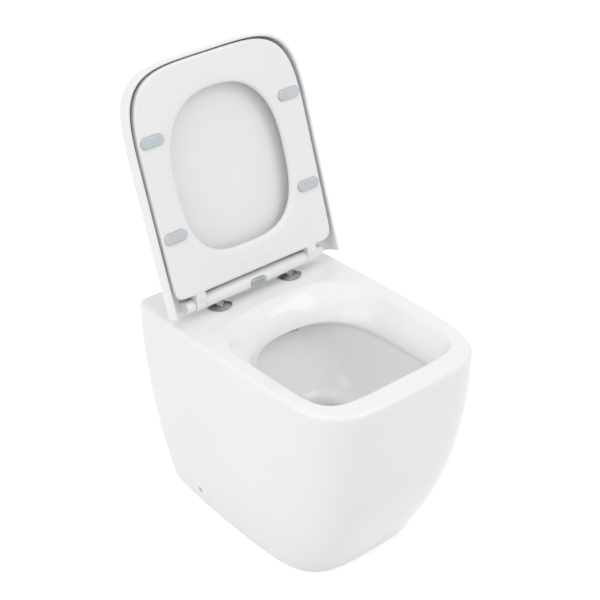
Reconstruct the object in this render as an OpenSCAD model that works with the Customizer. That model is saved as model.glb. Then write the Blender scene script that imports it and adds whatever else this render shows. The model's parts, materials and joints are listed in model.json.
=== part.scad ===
// Back-to-wall toilet: a one-piece ceramic pan with a slim soft-close seat and wrap-over lid.
// Frame: the origin lies on the floor, in the wall plane, on the pan's centre line.
// +X is to the right seen from the front, -Y is the front and +Z is up.
// The pan stands as in use, with the seat and the lid both raised against their stops.

/* [Pan] */
// Greatest width of the pan, at the rim
pan_w = 366; // [350:1:390]
// Length of the pan from the wall to the front of the rim
pan_l = 512; // [490:1:540]
// Height of the rim above the floor
pan_h = 400; // [390:1:420]
// Width of the rim where it meets the wall
pan_rear_w = 354; // [335:1:364]
// Distance of the widest section from the wall
pan_mid = 228; // [200:1:250]
// Greatest width of the foot
foot_w = 280; // [260:1:300]
// Width of the foot where it meets the wall
foot_rear_w = 251; // [235:1:262]
// Length of the foot from the wall
foot_l = 404; // [385:1:425]
// How early the sides swell out above the foot
side_bulge = 1.96; // [1.5:0.01:2.5]
// How early the front swells out above the foot
front_bulge = 2.38; // [1.8:0.01:3]
// Squareness of the rim's plan
rim_square = 4.8; // [3.5:0.1:6]
// Squareness of the foot's plan
foot_square = 3.9; // [3:0.1:5]
// Radius of the rim's outer edge
rim_round = 9; // [6:0.5:12]
// Thickness of the ceramic
ceramic_t = 12; // [10:0.5:14]

/* [Bowl] */
// Width of the bowl's mouth at deck level
mouth_w = 302; // [292:1:306]
// Distance from the wall to the front of the mouth
mouth_front = 468; // [460:1:474]
// Distance from the wall to the rear of the mouth
mouth_rear = 152; // [148:1:165]
// Squareness of the mouth at its front
mouth_square = 5.3; // [4:0.1:6]
// Squareness of the mouth at its rear
mouth_rear_square = 3.2; // [2.6:0.1:4]
// Width between the sloped entry's lower edges
lip_w = 238; // [226:1:246]
// Distance from the wall to the front lip
lip_front = 462; // [450:1:466]
// Distance from the wall to the rear lip
lip_rear = 187; // [182:1:196]
// Drop from the deck to the lip
lip_drop = 50; // [44:1:54]
// Set-back of the bowl's side under the lip
undercut = 6; // [4:0.5:8]
// Set-back of the bowl's rear under the lip
rear_undercut = 30; // [24:1:34]
// Height of the sump's brim above the floor
sump_z = 218; // [210:1:226]
// Depth of the sump below its brim
sump_depth = 142; // [134:1:148]
// Width of the sump
sump_w = 120; // [110:1:128]
// Distance from the wall to the front of the sump
sump_front = 344; // [334:1:354]
// Distance from the wall to the rear of the sump
sump_rear = 224; // [220:1:230]

/* [Water ways] */
// Outside diameter of the outlet spigot
outlet_od = 102; // [98:1:104]
// Height of the outlet's centre line above the floor
outlet_z = 180; // [176:1:190]
// Length of the outlet's straight spigot
outlet_len = 48; // [40:1:52]
// Distance from the wall to the spigot's end
outlet_back = 8; // [4:1:14]
// Inside diameter of the trapway
trap_id = 76; // [72:1:78]
// Inside diameter of the flush inlet
inlet_id = 55; // [50:1:58]
// Distance of the flush inlet's centre below the deck
inlet_drop = 73; // [70:1:78]
// Wall of the flush inlet's socket
inlet_t = 9; // [7:0.5:10]
// Depth of the flush inlet's socket
inlet_depth = 52; // [45:1:60]
// Distance from the wall to the socket's mouth
inlet_back = 20; // [12:1:30]
// Width of the flush slot under the rear lip
flush_slot_w = 96; // [80:1:110]
// Height of the flush slot under the rear lip
flush_slot_h = 8; // [6:1:10]

/* [Fixing holes] */
// Spacing of the seat's two fixing holes
hinge_spacing = 155; // [150:1:160]
// Diameter of the seat's fixing holes
hinge_hole_d = 15; // [13.5:0.5:16]
// Diameter of the side fixing holes
side_hole_d = 10; // [8:0.5:11]
// Height of the side fixing holes above the floor
side_hole_z = 33; // [30:1:42]
// Distance of the side fixing holes from the wall
side_hole_back = 104; // [96:1:115]
// Length of the thickened boss round each side fixing hole
side_boss_len = 24; // [20:1:28]

/* [Hinge] */
// Distance of the hinge line from the wall
hinge_back = 103; // [98:1:106]
// Height of the hinge line above the deck
hinge_up = 22; // [21.5:0.1:22.5]
// Angle of the raised seat and lid, from closed
open_angle = 107.5; // [100:0.5:109]
// Radius of the hinge bar
bar_r = 12.6; // [12:0.1:12.8]
// Length of the hinge bar
bar_len = 224; // [218:1:228]
// Width of each seat knuckle
seat_knuckle_w = 19; // [17:0.5:21]
// Radius of the seat's knuckles
seat_knuckle_r = 12.8; // [12.2:0.1:13]
// Width of each lid knuckle
lid_knuckle_w = 18; // [16:0.5:20]
// Radius of the lid's knuckles
lid_knuckle_r = 10.5; // [10:0.1:11.5]
// Thickness of the closed outer end of each lid knuckle
knuckle_end = 3; // [2:0.5:4]
// Side gap between neighbouring knuckles
knuckle_gap = 0.5; // [0.4:0.1:0.8]
// Radius of the damper shafts
shaft_r = 4; // [3.6:0.1:4.3]
// Half the distance across the damper shafts' flats
shaft_flat = 3.3; // [3:0.1:3.5]
// Radius of the damper bodies
damper_r = 7.8; // [7.5:0.1:8]
// Length of the damper bodies
damper_len = 23.4; // [20:0.2:24]
// Wall of the hinge bushes
bush_t = 1.8; // [1.5:0.1:2.2]
// Running clearance between a shaft and its bush
run_gap = 0.05; // [0.03:0.01:0.09]
// Clearance of parts that are fitted and don't move
fit_gap = 0.1; // [0.05:0.01:0.15]

/* [Mounting posts] */
// Radius of the steel mounting posts
post_r = 5; // [4.6:0.1:5.4]
// Height of the posts' tips above the hinge line
post_tip = 7.4; // [6.5:0.1:8]
// Radius of the threaded studs
stud_r = 4; // [3:0.5:5]
// Reach of the threaded studs below the deck
stud_reach = 58; // [50:1:66]
// Radius of the chrome flanges
flange_r = 22; // [21:0.5:25]
// Thickness of the gaskets under the flanges
gasket_t = 1; // [0.6:0.1:1.4]
// Radius of the rubber cones under the deck
cone_r = 17; // [14:0.5:19]
// Height of the rubber cones' head
cone_h = 8; // [6:0.5:10]
// Thickness of the plain washers
washer_t = 2; // [1.5:0.1:2.5]
// Radius of the wing nuts' hub
nut_r = 9; // [8:0.5:10]
// Height of the wing nuts' hub
nut_h = 12; // [10:0.5:14]
// Span of the wing nuts' wings
wing_span = 44; // [36:1:50]

/* [Quick release] */
// Length of the oval release button
button_len = 34; // [30:1:38]
// Height of the oval release button
button_h = 15; // [13:0.5:16]
// Travel of the release button
button_travel = 3; // [2.5:0.1:3.2]
// How far the button stands proud of the bar
button_proud = 0.8; // [0.5:0.1:1.2]
// Thickness of the latch blades
latch_t = 3.2; // [2.8:0.1:3.4]
// Width of the latch blades
latch_w = 7.4; // [6.6:0.1:8]
// Radius of the button's return springs, to the middle of the wire
spring_r = 1.2; // [1:0.05:1.3]
// Radius of the springs' wire
wire_r = 0.25; // [0.2:0.01:0.28]
// Turns of each return spring
spring_turns = 6; // [4:1:8]

/* [Seat] */
// Width of the seat ring
seat_w = 341; // [330:1:350]
// Reach of the seat ring in front of the hinge line
seat_reach = 397.5; // [385:0.5:405]
// Distance of the seat ring's rear edge in front of the hinge line
seat_rear = 19.2; // [17:0.1:20]
// Gap between the deck and the closed seat's underside
seat_lift = 4.5; // [4:0.1:5]
// Thickness of the seat ring
seat_t = 18; // [16:0.5:18.5]
// Width of the seat's opening
hole_w = 230; // [220:1:240]
// Distance of the opening's front edge from the hinge line
hole_front = 341; // [332:1:347]
// Distance of the opening's rear edge from the hinge line
hole_rear = 69; // [62:1:76]
// Squareness of the seat's plan
seat_square = 4.4; // [3.6:0.1:5.5]
// Length of the rubber bumpers
bumper_len = 45; // [38:1:48]
// Width of the rubber bumpers
bumper_w = 19; // [15:0.5:21]
// Distance of the bumpers from the seat's side
bumper_side = 27.5; // [26:0.5:31]
// Distance of the front bumpers from the seat's front edge
bumper_front = 109.5; // [100:0.5:118]
// Distance of the rear bumpers from the seat's rear edge
bumper_rear = 106.8; // [98:0.1:115]
// Depth of the pockets that hold the bumpers
bumper_seat = 4; // [3:0.5:5]
// Gap left under the bumpers and the buffers at rest
rest_gap = 0.3; // [0.2:0.05:0.4]

/* [Lid] */
// Gap between the seat's side and the lid's wall
lid_side_gap = 6; // [4:0.5:7]
// Gap between the seat's front and the lid's wall
lid_front_gap = 2.5; // [2:0.5:5]
// Reach of the lid behind the hinge line
lid_rear = 8; // [6:0.5:9]
// Thickness of the lid's walls
lid_t = 4.5; // [4:0.1:5]
// Gap between the deck and the closed lid's brim
lid_lift = 4.5; // [4:0.5:6]
// Gap between the seat's knuckles and the lid's inside
lid_knuckle_gap = 0.5; // [0.4:0.1:1]
// Radius of the lid's outer edge
lid_round = 16; // [12:0.5:18]
// Radius of the lid's buffers
buffer_r = 6; // [5:0.5:8]
// Distance of the buffers from the seat's side
buffer_side = 54.5; // [48:0.5:66]
// Distance of the buffers from the seat's front edge
buffer_front = 38; // [34:1:46]

/* [Hidden] */
$fn = 64;
// Small overlap that makes cuts run clean through a face
eps = 1;
// Steps along an eighth of every outline
steps = 6;
// Points round every outline
around = 8 * steps;
// Levels from the foot to the rim
skirt_levels = 11;
// Levels from the lip down to the sump
bowl_levels = 9;
// Levels round the sump's bottom
sump_levels = 3;
// Levels of the rounded outer edges
round_levels = 3;
// Squareness of an outline that ends square at the wall
wall_square = 30;
// Squareness of the bowl's lower outlines
bowl_square = 2.6;

hinge_y = -hinge_back;
hinge_z = pan_h + hinge_up;
hinge_x = hinge_spacing / 2;
deck_under = pan_h - ceramic_t;
bar_end = bar_len / 2;
seat_knuckle_in = bar_end + knuckle_gap;
seat_knuckle_out = seat_knuckle_in + seat_knuckle_w;
lid_knuckle_in = seat_knuckle_out + knuckle_gap;
lid_knuckle_out = lid_knuckle_in + lid_knuckle_w;
inlet_z = pan_h - inlet_drop;
seat_under = seat_lift - hinge_up;
bumper_x = seat_w / 2 - bumper_side;
front_bumper_reach = seat_reach - bumper_front;
rear_bumper_reach = seat_rear + bumper_rear;
buffer_x = seat_w / 2 - buffer_side;
buffer_reach = seat_reach - buffer_front;
seat_top = seat_under + seat_t;
lid_w = seat_w + 2 * (lid_side_gap + lid_t);
lid_reach = seat_reach + lid_front_gap + lid_t;
lid_inside = seat_knuckle_r + lid_knuckle_gap;
lid_top = lid_inside + lid_t;
lid_brim = lid_lift - hinge_up;
journal_r = shaft_r - 0.6;
damper_flat = damper_r - 0.8;
lid_bore_len = lid_knuckle_w - knuckle_end;
shaft_end = lid_knuckle_in + lid_bore_len - 0.3;
latch_travel = button_travel / 2;

// ---- outlines ----

// One point of a quarter outline, from its side (0) to its end (2 * steps), for a unit size
function quarter_s(k, n) = pow(0.5, 1 / n) * sin(90 * k / steps);
function quarter_pt(i, n) =
    let (side = i <= steps, s = quarter_s(side ? i : 2 * steps - i, n), o = pow(1 - pow(s, n), 1 / n))
    side ? [o, s] : [s, o];

// A closed level outline: half width w (wr at its rear end), from y = front to y = rear
// about its widest section at y = mid, with the squareness nf in front and nb behind
function outline(w, wr, front, rear, mid, nf, nb, z) =
    [for (j = [0:around - 1])
        let (
            q = floor(j / (2 * steps)),
            i = j - q * 2 * steps,
            u = quarter_pt(q == 0 || q == 2 ? i : 2 * steps - i, q < 2 ? nf : nb),
            right = q == 0 || q == 3,
            half = q < 2 ? w : w - (w - wr) * pow(u[1], 2),
            reach = q < 2 ? front - mid : rear - mid)
        [(right ? 1 : -1) * half * u[0], mid + reach * u[1], z]];

// Blend of two outlines
function blend(a, b, t) = [for (j = [0:len(a) - 1]) a[j] * (1 - t) + b[j] * t];
function at_height(a, z) = [for (p = a) [p[0], p[1], z]];
function flat(lists) = [for (l = lists) for (p = l) p];
function mix(a, b, t) = a + (b - a) * t;

// Faces between rings r and s, where r is followed by s on the way over the skin
function band(r, s) =
    [for (j = [0:around - 1])
        let (k = (j + 1) % around)
        for (f = [[s * around + k, r * around + k, r * around + j],
                  [s * around + j, s * around + k, r * around + j]]) f];

// A skin over rings that starts and ends in a point
module capped_skin(rings, start, end) {
    n = len(rings);
    first = n * around;
    faces = concat(
        [for (r = [0:n - 2]) for (f = band(r, r + 1)) f],
        [for (j = [0:around - 1]) [first, j, (j + 1) % around]],
        [for (j = [0:around - 1])
            [first + 1, (n - 1) * around + (j + 1) % around, (n - 1) * around + j]]);
    polyhedron(points = concat(flat(rings), [start, end]), faces = faces, convexity = 8);
}

// A skin over rings that closes on itself like a tyre
module ring_skin(rings) {
    n = len(rings);
    polyhedron(points = flat(rings), faces = flat([for (r = [0:n - 1]) band(r, (r + 1) % n)]), convexity = 8);
}

// A tube along a path in the YZ plane, with its radius at each point and flat ends
module yz_sweep(path, radii, sides) {
    n = len(path);
    pts = [for (i = [0:n - 1])
        let (
            a = path[max(i - 1, 0)],
            b = path[min(i + 1, n - 1)],
            d = (b - a) / norm(b - a),
            side = [-d[1], d[0]])
        for (k = [0:sides - 1])
            let (c = radii[i] * cos(360 * k / sides), s = radii[i] * sin(360 * k / sides))
            [c, path[i][0] + side[0] * s, path[i][1] + side[1] * s]];
    walls = [for (i = [0:n - 2]) for (k = [0:sides - 1])
        let (m = (k + 1) % sides)
        for (f = [[i * sides + k, i * sides + m, (i + 1) * sides + m],
                  [i * sides + k, (i + 1) * sides + m, (i + 1) * sides + k]]) f];
    fans = [for (k = [1:sides - 2]) for (f = [[0, k + 1, k],
        [(n - 1) * sides, (n - 1) * sides + k, (n - 1) * sides + k + 1]]) f];
    polyhedron(points = pts, faces = concat(walls, fans), convexity = 6);
}

// ---- pan ----

// Outline of the pan's outside at height z, drawn in by inset
function skirt_out(z, inset) =
    let (
        t = min(z / (pan_h - rim_round), 1),
        s = 1 - pow(1 - t, side_bulge),
        f = 1 - pow(1 - t, front_bulge))
    outline(
        mix(foot_w, pan_w, s) / 2 - inset,
        mix(foot_rear_w, pan_rear_w, s) / 2 - inset,
        -mix(foot_l, pan_l, f) + inset,
        3,
        -pan_mid,
        mix(foot_square, rim_square, t),
        wall_square,
        z);

// Half width of the pan's outside at the wall, at height z
function rear_half(z) =
    let (s = 1 - pow(1 - min(z / (pan_h - rim_round), 1), side_bulge))
    mix(foot_rear_w, pan_rear_w, s) / 2;

// Half width of the pan's outside at the distance back from the wall and the height z
function side_half(back, z) =
    let (
        s = 1 - pow(1 - min(z / (pan_h - rim_round), 1), side_bulge),
        w = mix(foot_w, pan_w, s) / 2,
        u = (pan_mid - back) / (pan_mid + 3))
    w - (w - rear_half(z)) * u * u;

// Inside of the skirt, which has a rear wall until it is cut open
function skirt_in(z) =
    let (o = skirt_out(z, ceramic_t))
    [for (p = o) [p[0], min(p[1], -ceramic_t), z]];

function bowl_mid() = -(mouth_front + mouth_rear) / 2;
function mouth(inset, z) =
    outline(mouth_w / 2 - inset, mouth_w / 2 - inset, -mouth_front + inset, -mouth_rear - inset,
        bowl_mid(), mouth_square, mouth_rear_square, z);
lip_square = 5;
lip_rear_square = 2.5;
function lip(set_back, rear_back, z) =
    outline(lip_w / 2 + set_back, lip_w / 2 + set_back, -lip_front - set_back, -lip_rear + rear_back,
        -(lip_front + lip_rear) / 2, lip_square, lip_rear_square, z);

// Sloped entry from the deck down to the lip: share of the way in, share of the drop
entry_profile = [[0, 0], [0.06, 0.02], [0.15, 0.062], [0.27, 0.135], [0.42, 0.24],
    [0.58, 0.37], [0.74, 0.535], [0.87, 0.7], [0.96, 0.87], [1, 1]];
function entry_ring(p) = at_height(blend(mouth(-4, 0), lip(0, 0, 0), p[0]), pan_h - lip_drop * p[1]);

// Bowl from under the lip (0) to the sump's brim (1), grown outward by wall
under_lip_z = pan_h - lip_drop - 14;
function bowl_ring(t, wall) =
    let (e = 1 - pow(1 - pow(t, 2.1), 0.72))
    outline(
        mix(lip_w / 2 + undercut, sump_w / 2, e) + wall,
        mix(lip_w / 2 + undercut, sump_w / 2, e) + wall,
        -mix(lip_front + undercut, sump_front, e) - wall,
        -mix(lip_rear - rear_undercut, sump_rear, pow(t, 1.3)) + wall,
        -mix((lip_front + lip_rear) / 2, (sump_front + sump_rear) / 2, pow(t, 1.2)),
        mix(lip_square, bowl_square, t),
        mix(lip_rear_square, bowl_square, t),
        mix(under_lip_z, sump_z, t));

// Underside of the entry, from the deck's underside to the lip's height
under_profile = [[0, 0], [0.42, 0.24], [0.74, 0.535], [1, 1]];
under_grow = 10;
function entry_under(p) =
    at_height(blend(mouth(-under_grow, 0), bowl_ring(0, ceramic_t), p[0]),
        mix(deck_under, pan_h - lip_drop, p[1]));

// Sump from its brim (0) to its flat bottom (1)
function sump_ring(t, wall) =
    let (
        k = cos(80 * t),
        c = -(sump_front + sump_rear) / 2,
        h = (sump_front - sump_rear) / 2)
    outline(sump_w / 2 * k + wall, sump_w / 2 * k + wall, c - h * k - wall, c + h * k + wall,
        c, bowl_square, bowl_square, sump_z - sump_depth * sin(90 * t) - wall * t);
sump_centre = -(sump_front + sump_rear) / 2;
sump_floor = sump_z - sump_depth;

pan_rings = concat(
    [for (i = [sump_levels:-1:1]) sump_ring(i / sump_levels, 0)],
    [for (i = [bowl_levels:-1:0]) bowl_ring(i / bowl_levels, 0)],
    [lip(3, rear_undercut * 0.55, under_lip_z + 5)],
    [for (i = [len(entry_profile) - 1:-1:0]) entry_ring(entry_profile[i])],
    [for (i = [round_levels:-1:1])
        skirt_out(pan_h - rim_round + rim_round * sin(90 * i / round_levels),
            rim_round * (1 - cos(90 * i / round_levels)))],
    [for (i = [skirt_levels:-1:0]) skirt_out((pan_h - rim_round) * i / skirt_levels, 0)],
    [for (i = [0:skirt_levels]) skirt_in(deck_under * i / skirt_levels)],
    [for (p = under_profile) entry_under(p)],
    [for (i = [0:bowl_levels]) bowl_ring(i / bowl_levels, ceramic_t)],
    [for (i = [1:sump_levels]) sump_ring(i / sump_levels, ceramic_t)]);

// Centre line of the trapway: level out of the sump, up a leg to the weir, then down to the outlet
trap_wall = 8;
trap_shy = 0.5;
trap_low_r = 27;
trap_set = 40.7;
trap_leg = sump_rear - trap_set;
trap_bend = 46;
trap_weir_up = 36;
trap_mouth_z = sump_floor + trap_low_r + 1;
trap_weir_z = outlet_z + trap_weir_up;
trap_exit = [-outlet_back - outlet_len, outlet_z];
trap_steps = 5;

// A quarter bend about c between two directions from it
function quarter_bend(c, from, to) =
    [for (i = [0:trap_steps])
        let (a = mix(from, to, i / trap_steps))
        c + trap_bend * [cos(a), sin(a)]];

// A double bend from a to b that starts and ends level
function double_bend(a, b) =
    let (
        l = b[0] - a[0],
        h = b[1] - a[1],
        r = (l * l + h * h) / (4 * h),
        f = 2 * atan(h / l) / trap_steps)
    concat(
        [for (i = [0:trap_steps]) a + r * [sin(f * i), 1 - cos(f * i)]],
        [for (i = [trap_steps - 1:-1:1]) b - r * [sin(f * i), 1 - cos(f * i)]]);

trap_up = concat(
    [[sump_centre, trap_mouth_z]],
    quarter_bend([-trap_leg - trap_bend, trap_mouth_z + trap_bend], -90, 0),
    quarter_bend([-trap_leg + trap_bend, trap_weir_z - trap_bend], 180, 90));
trap_down = double_bend(trap_up[len(trap_up) - 1], trap_exit);
trap_path = concat(
    trap_up,
    [for (i = [1:len(trap_down) - 1]) trap_down[i]],
    [trap_exit, trap_exit + [ceramic_t, 0]]);
trap_points = len(trap_path);
function trap_radii(wall) =
    [for (i = [0:trap_points - 1]) mix(trap_low_r, trap_id / 2 - trap_shy, i / (trap_points - 1)) + wall];

// What the bowl and the sump hold, out to the middle of their wall
module bowl_core() {
    half = ceramic_t / 2;
    capped_skin(
        concat(
            [for (i = [0:bowl_levels]) bowl_ring(i / bowl_levels, half)],
            [for (i = [1:sump_levels]) sump_ring(i / sump_levels, half)]),
        [0, -(lip_front + lip_rear) / 2, under_lip_z],
        [0, sump_centre, sump_floor - half]);
}

module spigot(r, extra) {
    translate([0, trap_exit[0], trap_exit[1]])
        rotate([-90, 0, 0])
            cylinder(r = r, h = outlet_len + extra);
}

module trap_outside() {
    difference() {
        yz_sweep(trap_path, trap_radii(trap_wall), 24);
        bowl_core();
    }
    spigot(outlet_od / 2, 0);
}

module trap_inside() {
    yz_sweep(trap_path, trap_radii(0), 24);
    spigot(trap_id / 2, eps);
}

// The flush chamber runs from the inlet socket to the bowl under the rear lip
chamber_back = inlet_back + inlet_depth - 12;
chamber_front = lip_rear - rear_undercut;
slot_rise = 3;
slot_z = inlet_z + slot_rise;
chamber_set = 2;

module flush_outside() {
    translate([0, -inlet_back, inlet_z])
        rotate([90, 0, 0])
            cylinder(r = inlet_id / 2 + inlet_t, h = inlet_depth + inlet_t);
    translate([-flush_slot_w / 2 - inlet_t, -chamber_front + chamber_set, slot_z - flush_slot_h / 2 - inlet_t])
        cube([flush_slot_w + 2 * inlet_t, chamber_front - chamber_set - chamber_back, flush_slot_h + 2 * inlet_t]);
}

module flush_inside() {
    translate([0, -inlet_back + eps, inlet_z])
        rotate([90, 0, 0])
            cylinder(r = inlet_id / 2, h = inlet_depth + eps);
    translate([-flush_slot_w / 2, -lip_rear - 8, slot_z - flush_slot_h / 2])
        cube([flush_slot_w, lip_rear + 8 - chamber_back - inlet_t, flush_slot_h]);
}

// Opening in the rear of the pan that gives room for the pipes
rear_edge = ceramic_t + 2;
rear_beam = 26;
rear_levels = 5;

module rear_cut() {
    heights = [-eps, for (i = [1:rear_levels]) (pan_h - rear_beam) * i / rear_levels];
    right = [for (z = heights) [rear_half(max(z, 0)) - rear_edge, z]];
    left = [for (i = [len(heights) - 1:-1:0]) [-right[i][0], right[i][1]]];
    translate([0, eps, 0])
        rotate([90, 0, 0])
            linear_extrude(height = ceramic_t + 2 * eps)
                polygon(concat(right, left));
}

// The side fixing holes run through the skirt and a boss behind it
side_out = side_half(side_hole_back, side_hole_z);
side_boss_end = side_out - ceramic_t / 2;
side_boss_start = side_boss_end - side_boss_len + ceramic_t / 2;
side_boss_r = side_hole_d / 2 + 8;

module side_boss(side) {
    translate([side * side_boss_start, -side_hole_back, side_hole_z])
        rotate([0, side * 90, 0])
            cylinder(r = side_boss_r, h = side_boss_end - side_boss_start);
}

module side_hole(side) {
    translate([side * (side_boss_start - eps), -side_hole_back, side_hole_z])
        rotate([0, side * 90, 0])
            cylinder(d = side_hole_d, h = side_boss_len + 12);
}

module hinge_hole(side) {
    translate([side * hinge_x, hinge_y, deck_under - eps])
        cylinder(d = hinge_hole_d, h = ceramic_t + 2 * eps);
}

module pan() {
    color("white")
    difference() {
        union() {
            capped_skin(pan_rings, [0, sump_centre, sump_floor], [0, sump_centre, sump_floor - ceramic_t]);
            trap_outside();
            flush_outside();
            for (side = [-1, 1]) side_boss(side);
        }
        trap_inside();
        flush_inside();
        for (side = [-1, 1]) {
            hinge_hole(side);
            side_hole(side);
        }
        rear_cut();
        translate([-pan_w, 0, -eps]) cube([2 * pan_w, 20, pan_h + 2 * eps]);
    }
}

// ---- frames and small shapes ----

// The hinge line, with the children as they lie when the seat and the lid are closed
module at_hinge() {
    translate([0, hinge_y, hinge_z]) children();
}

module raised() {
    at_hinge() rotate([-open_angle, 0, 0]) children();
}

// Turns the children's +Z outward along X and sets them at a distance from the centre line
module outward(side, distance) {
    translate([side * distance, 0, 0]) rotate([0, side * 90, 0]) children();
}

// A round bar with two flats
module flatted(r, flat, h) {
    intersection() {
        cylinder(r = r, h = h);
        translate([-r - eps, -flat, -eps]) cube([2 * (r + eps), 2 * flat, h + 2 * eps]);
    }
}

// A plate of the given size and height with round ends, its long side along X
module pill(length, width, h) {
    translate([-(length - width) / 2, 0, 0]) cylinder(d = width, h = h);
    translate([(length - width) / 2, 0, 0]) cylinder(d = width, h = h);
    translate([-(length - width) / 2, -width / 2, 0]) cube([length - width, width, h]);
}

// ---- seat ----

seat_front_square = seat_square;
seat_rear_square = 22;
hole_front_square = 2.4;
hole_rear_square = 3;
seat_mid = -(hole_front + hole_rear) / 2;
land_in = 27;

function seat_edge(inset, z) =
    outline(seat_w / 2 - inset, seat_w / 2 - inset, -seat_reach + inset, -seat_rear - inset,
        seat_mid, seat_front_square, seat_rear_square, z);
function seat_hole(grow, z) =
    outline(hole_w / 2 + grow, hole_w / 2 + grow, -hole_front - grow, -hole_rear + grow,
        seat_mid, hole_front_square, hole_rear_square, z);

seat_rings = [
    seat_edge(3, seat_under),
    seat_hole(land_in, seat_under),
    seat_hole(6, seat_under + 2.4),
    seat_hole(2, seat_under + 4.2),
    seat_hole(0, seat_under + 8),
    seat_hole(0.6, seat_under + seat_t * 0.62),
    seat_hole(3.4, seat_top - 3.2),
    seat_hole(9, seat_top - 0.9),
    seat_hole(17, seat_top),
    seat_edge(16, seat_top),
    seat_edge(7.5, seat_top - 1.2),
    seat_edge(2.6, seat_top - 4),
    seat_edge(0.4, seat_top - 8.2),
    seat_edge(0, seat_under + 6),
    seat_edge(0.8, seat_under + 1.2)];

bush_r = shaft_r + run_gap + bush_t;

module seat_knuckle(side) {
    reach = seat_rear + 12;
    arm = [[0, seat_knuckle_r], [-reach, seat_top - 1.4], [-reach, seat_under + 1.6], [0, -seat_knuckle_r]];
    outward(side, seat_knuckle_in)
        cylinder(r = seat_knuckle_r, h = seat_knuckle_w);
    translate([side > 0 ? seat_knuckle_in : -seat_knuckle_out, 0, 0])
        rotate([90, 0, 90])
            linear_extrude(height = seat_knuckle_w)
                polygon(arm);
}

module at_bumper(side, reach) {
    translate([side * bumper_x, -reach, seat_under]) children();
}

module seat_ring() {
    color("white")
    raised()
    difference() {
        union() {
            ring_skin(seat_rings);
            for (side = [-1, 1]) seat_knuckle(side);
        }
        outward(-1, seat_knuckle_in - eps)
            flatted(shaft_r + fit_gap, shaft_flat + fit_gap, seat_knuckle_w + 2 * eps);
        outward(1, seat_knuckle_in - eps)
            cylinder(r = bush_r + fit_gap, h = seat_knuckle_w + 2 * eps);
        for (side = [-1, 1])
            for (reach = [front_bumper_reach, rear_bumper_reach])
                at_bumper(side, reach)
                    translate([0, 0, -eps])
                        pill(bumper_len + 2 * fit_gap, bumper_w + 2 * fit_gap, bumper_seat + fit_gap + eps);
    }
}

module bumper(side, reach) {
    bevel = 1;
    height = seat_lift - rest_gap;
    color("gainsboro")
    raised()
    at_bumper(side, reach) {
        translate([0, 0, -height + bevel]) pill(bumper_len, bumper_w, height - bevel + bumper_seat);
        translate([0, 0, -height]) pill(bumper_len - 2 * bevel, bumper_w - 2 * bevel, bevel + eps / 2);
    }
}

// ---- lid ----

edge_levels = 5;
lid_mid = -223;
lid_over = 40;

function lid_edge(inset, z) =
    outline(lid_w / 2 - inset, lid_w / 2 - inset, -lid_reach + inset, lid_over - inset,
        lid_mid, seat_square, wall_square, z);

lid_rings = concat(
    [for (i = [0:edge_levels])
        let (a = 90 * i / edge_levels)
        lid_edge(lid_round * (1 - sin(a)), lid_top - lid_round * (1 - cos(a)))],
    [lid_edge(0, lid_brim + 1.6), lid_edge(0.5, lid_brim + 0.4), lid_edge(1.4, lid_brim)],
    [lid_edge(lid_t - 1.4, lid_brim), lid_edge(lid_t - 0.5, lid_brim + 0.4), lid_edge(lid_t, lid_brim + 1.6)],
    [for (i = [edge_levels:-1:0])
        let (a = 90 * i / edge_levels, r = lid_round - lid_t)
        lid_edge(lid_t + r * (1 - sin(a)), lid_inside - r * (1 - cos(a)))]);

module lid_knuckle(side) {
    depth = lid_knuckle_r - 1.5;
    outward(side, lid_knuckle_in)
        cylinder(r = lid_knuckle_r, h = lid_knuckle_w);
    translate([side > 0 ? lid_knuckle_in : -lid_knuckle_out, -depth, 0])
        cube([lid_knuckle_w, depth + lid_rear - 1, lid_inside + lid_t / 2]);
}

peg_r = 2.5;
peg_h = 2.5;

module lid() {
    color("white")
    raised()
    difference() {
        union() {
            difference() {
                capped_skin(lid_rings, [0, lid_mid, lid_top], [0, lid_mid, lid_inside]);
                translate([-lid_w, lid_rear, -pan_w / 2]) cube([2 * lid_w, pan_w, pan_w]);
                difference() {
                    translate([-lid_w, 0, 0]) cube([2 * lid_w, lid_over, lid_over]);
                    outward(-1, -lid_w - eps) cylinder(r = lid_top, h = 2 * (lid_w + eps));
                }
            }
            for (side = [-1, 1]) lid_knuckle(side);
        }
        outward(-1, lid_knuckle_in - eps)
            cylinder(r = bush_r + fit_gap, h = lid_bore_len + eps);
        outward(1, lid_knuckle_in - eps)
            flatted(shaft_r + fit_gap, shaft_flat + fit_gap, lid_bore_len + eps);
        for (side = [-1, 1])
            translate([side * buffer_x, -buffer_reach, lid_inside - eps])
                cylinder(r = peg_r + fit_gap, h = peg_h + fit_gap + eps);
    }
}

module lid_buffer(side) {
    color("gainsboro")
    raised()
    translate([side * buffer_x, -buffer_reach, seat_top + rest_gap]) {
        cylinder(r = buffer_r, h = lid_inside - seat_top - rest_gap);
        cylinder(r = peg_r, h = lid_inside - seat_top - rest_gap + peg_h);
    }
}

// ---- hinge ----

thick_len = 6;
tip_len = 1.5;

module damper_body() {
    difference() {
        flatted(damper_r, damper_flat, damper_len);
        translate([0, 0, 2.5]) cylinder(r = journal_r + run_gap, h = damper_len);
        translate([0, 0, damper_len - thick_len]) cylinder(r = shaft_r + run_gap, h = thick_len + eps);
    }
}

module damper(side) {
    color("silver")
    at_hinge() outward(side, bar_end - damper_len) damper_body();
}

// A shaft from inside its damper to its tip in the lid, with flats over the part that drives
module shaft(side, flats_from, flats_to, tip_r) {
    start = bar_end - damper_len + 3;
    thick = bar_end - thick_len + 0.3;
    outward(side, start) cylinder(r = journal_r, h = thick - start);
    outward(side, thick) cylinder(r = shaft_r, h = flats_from - thick);
    outward(side, flats_from) flatted(shaft_r, shaft_flat, flats_to - flats_from);
    outward(side, flats_to) cylinder(r = tip_r, h = shaft_end - flats_to);
}

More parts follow.
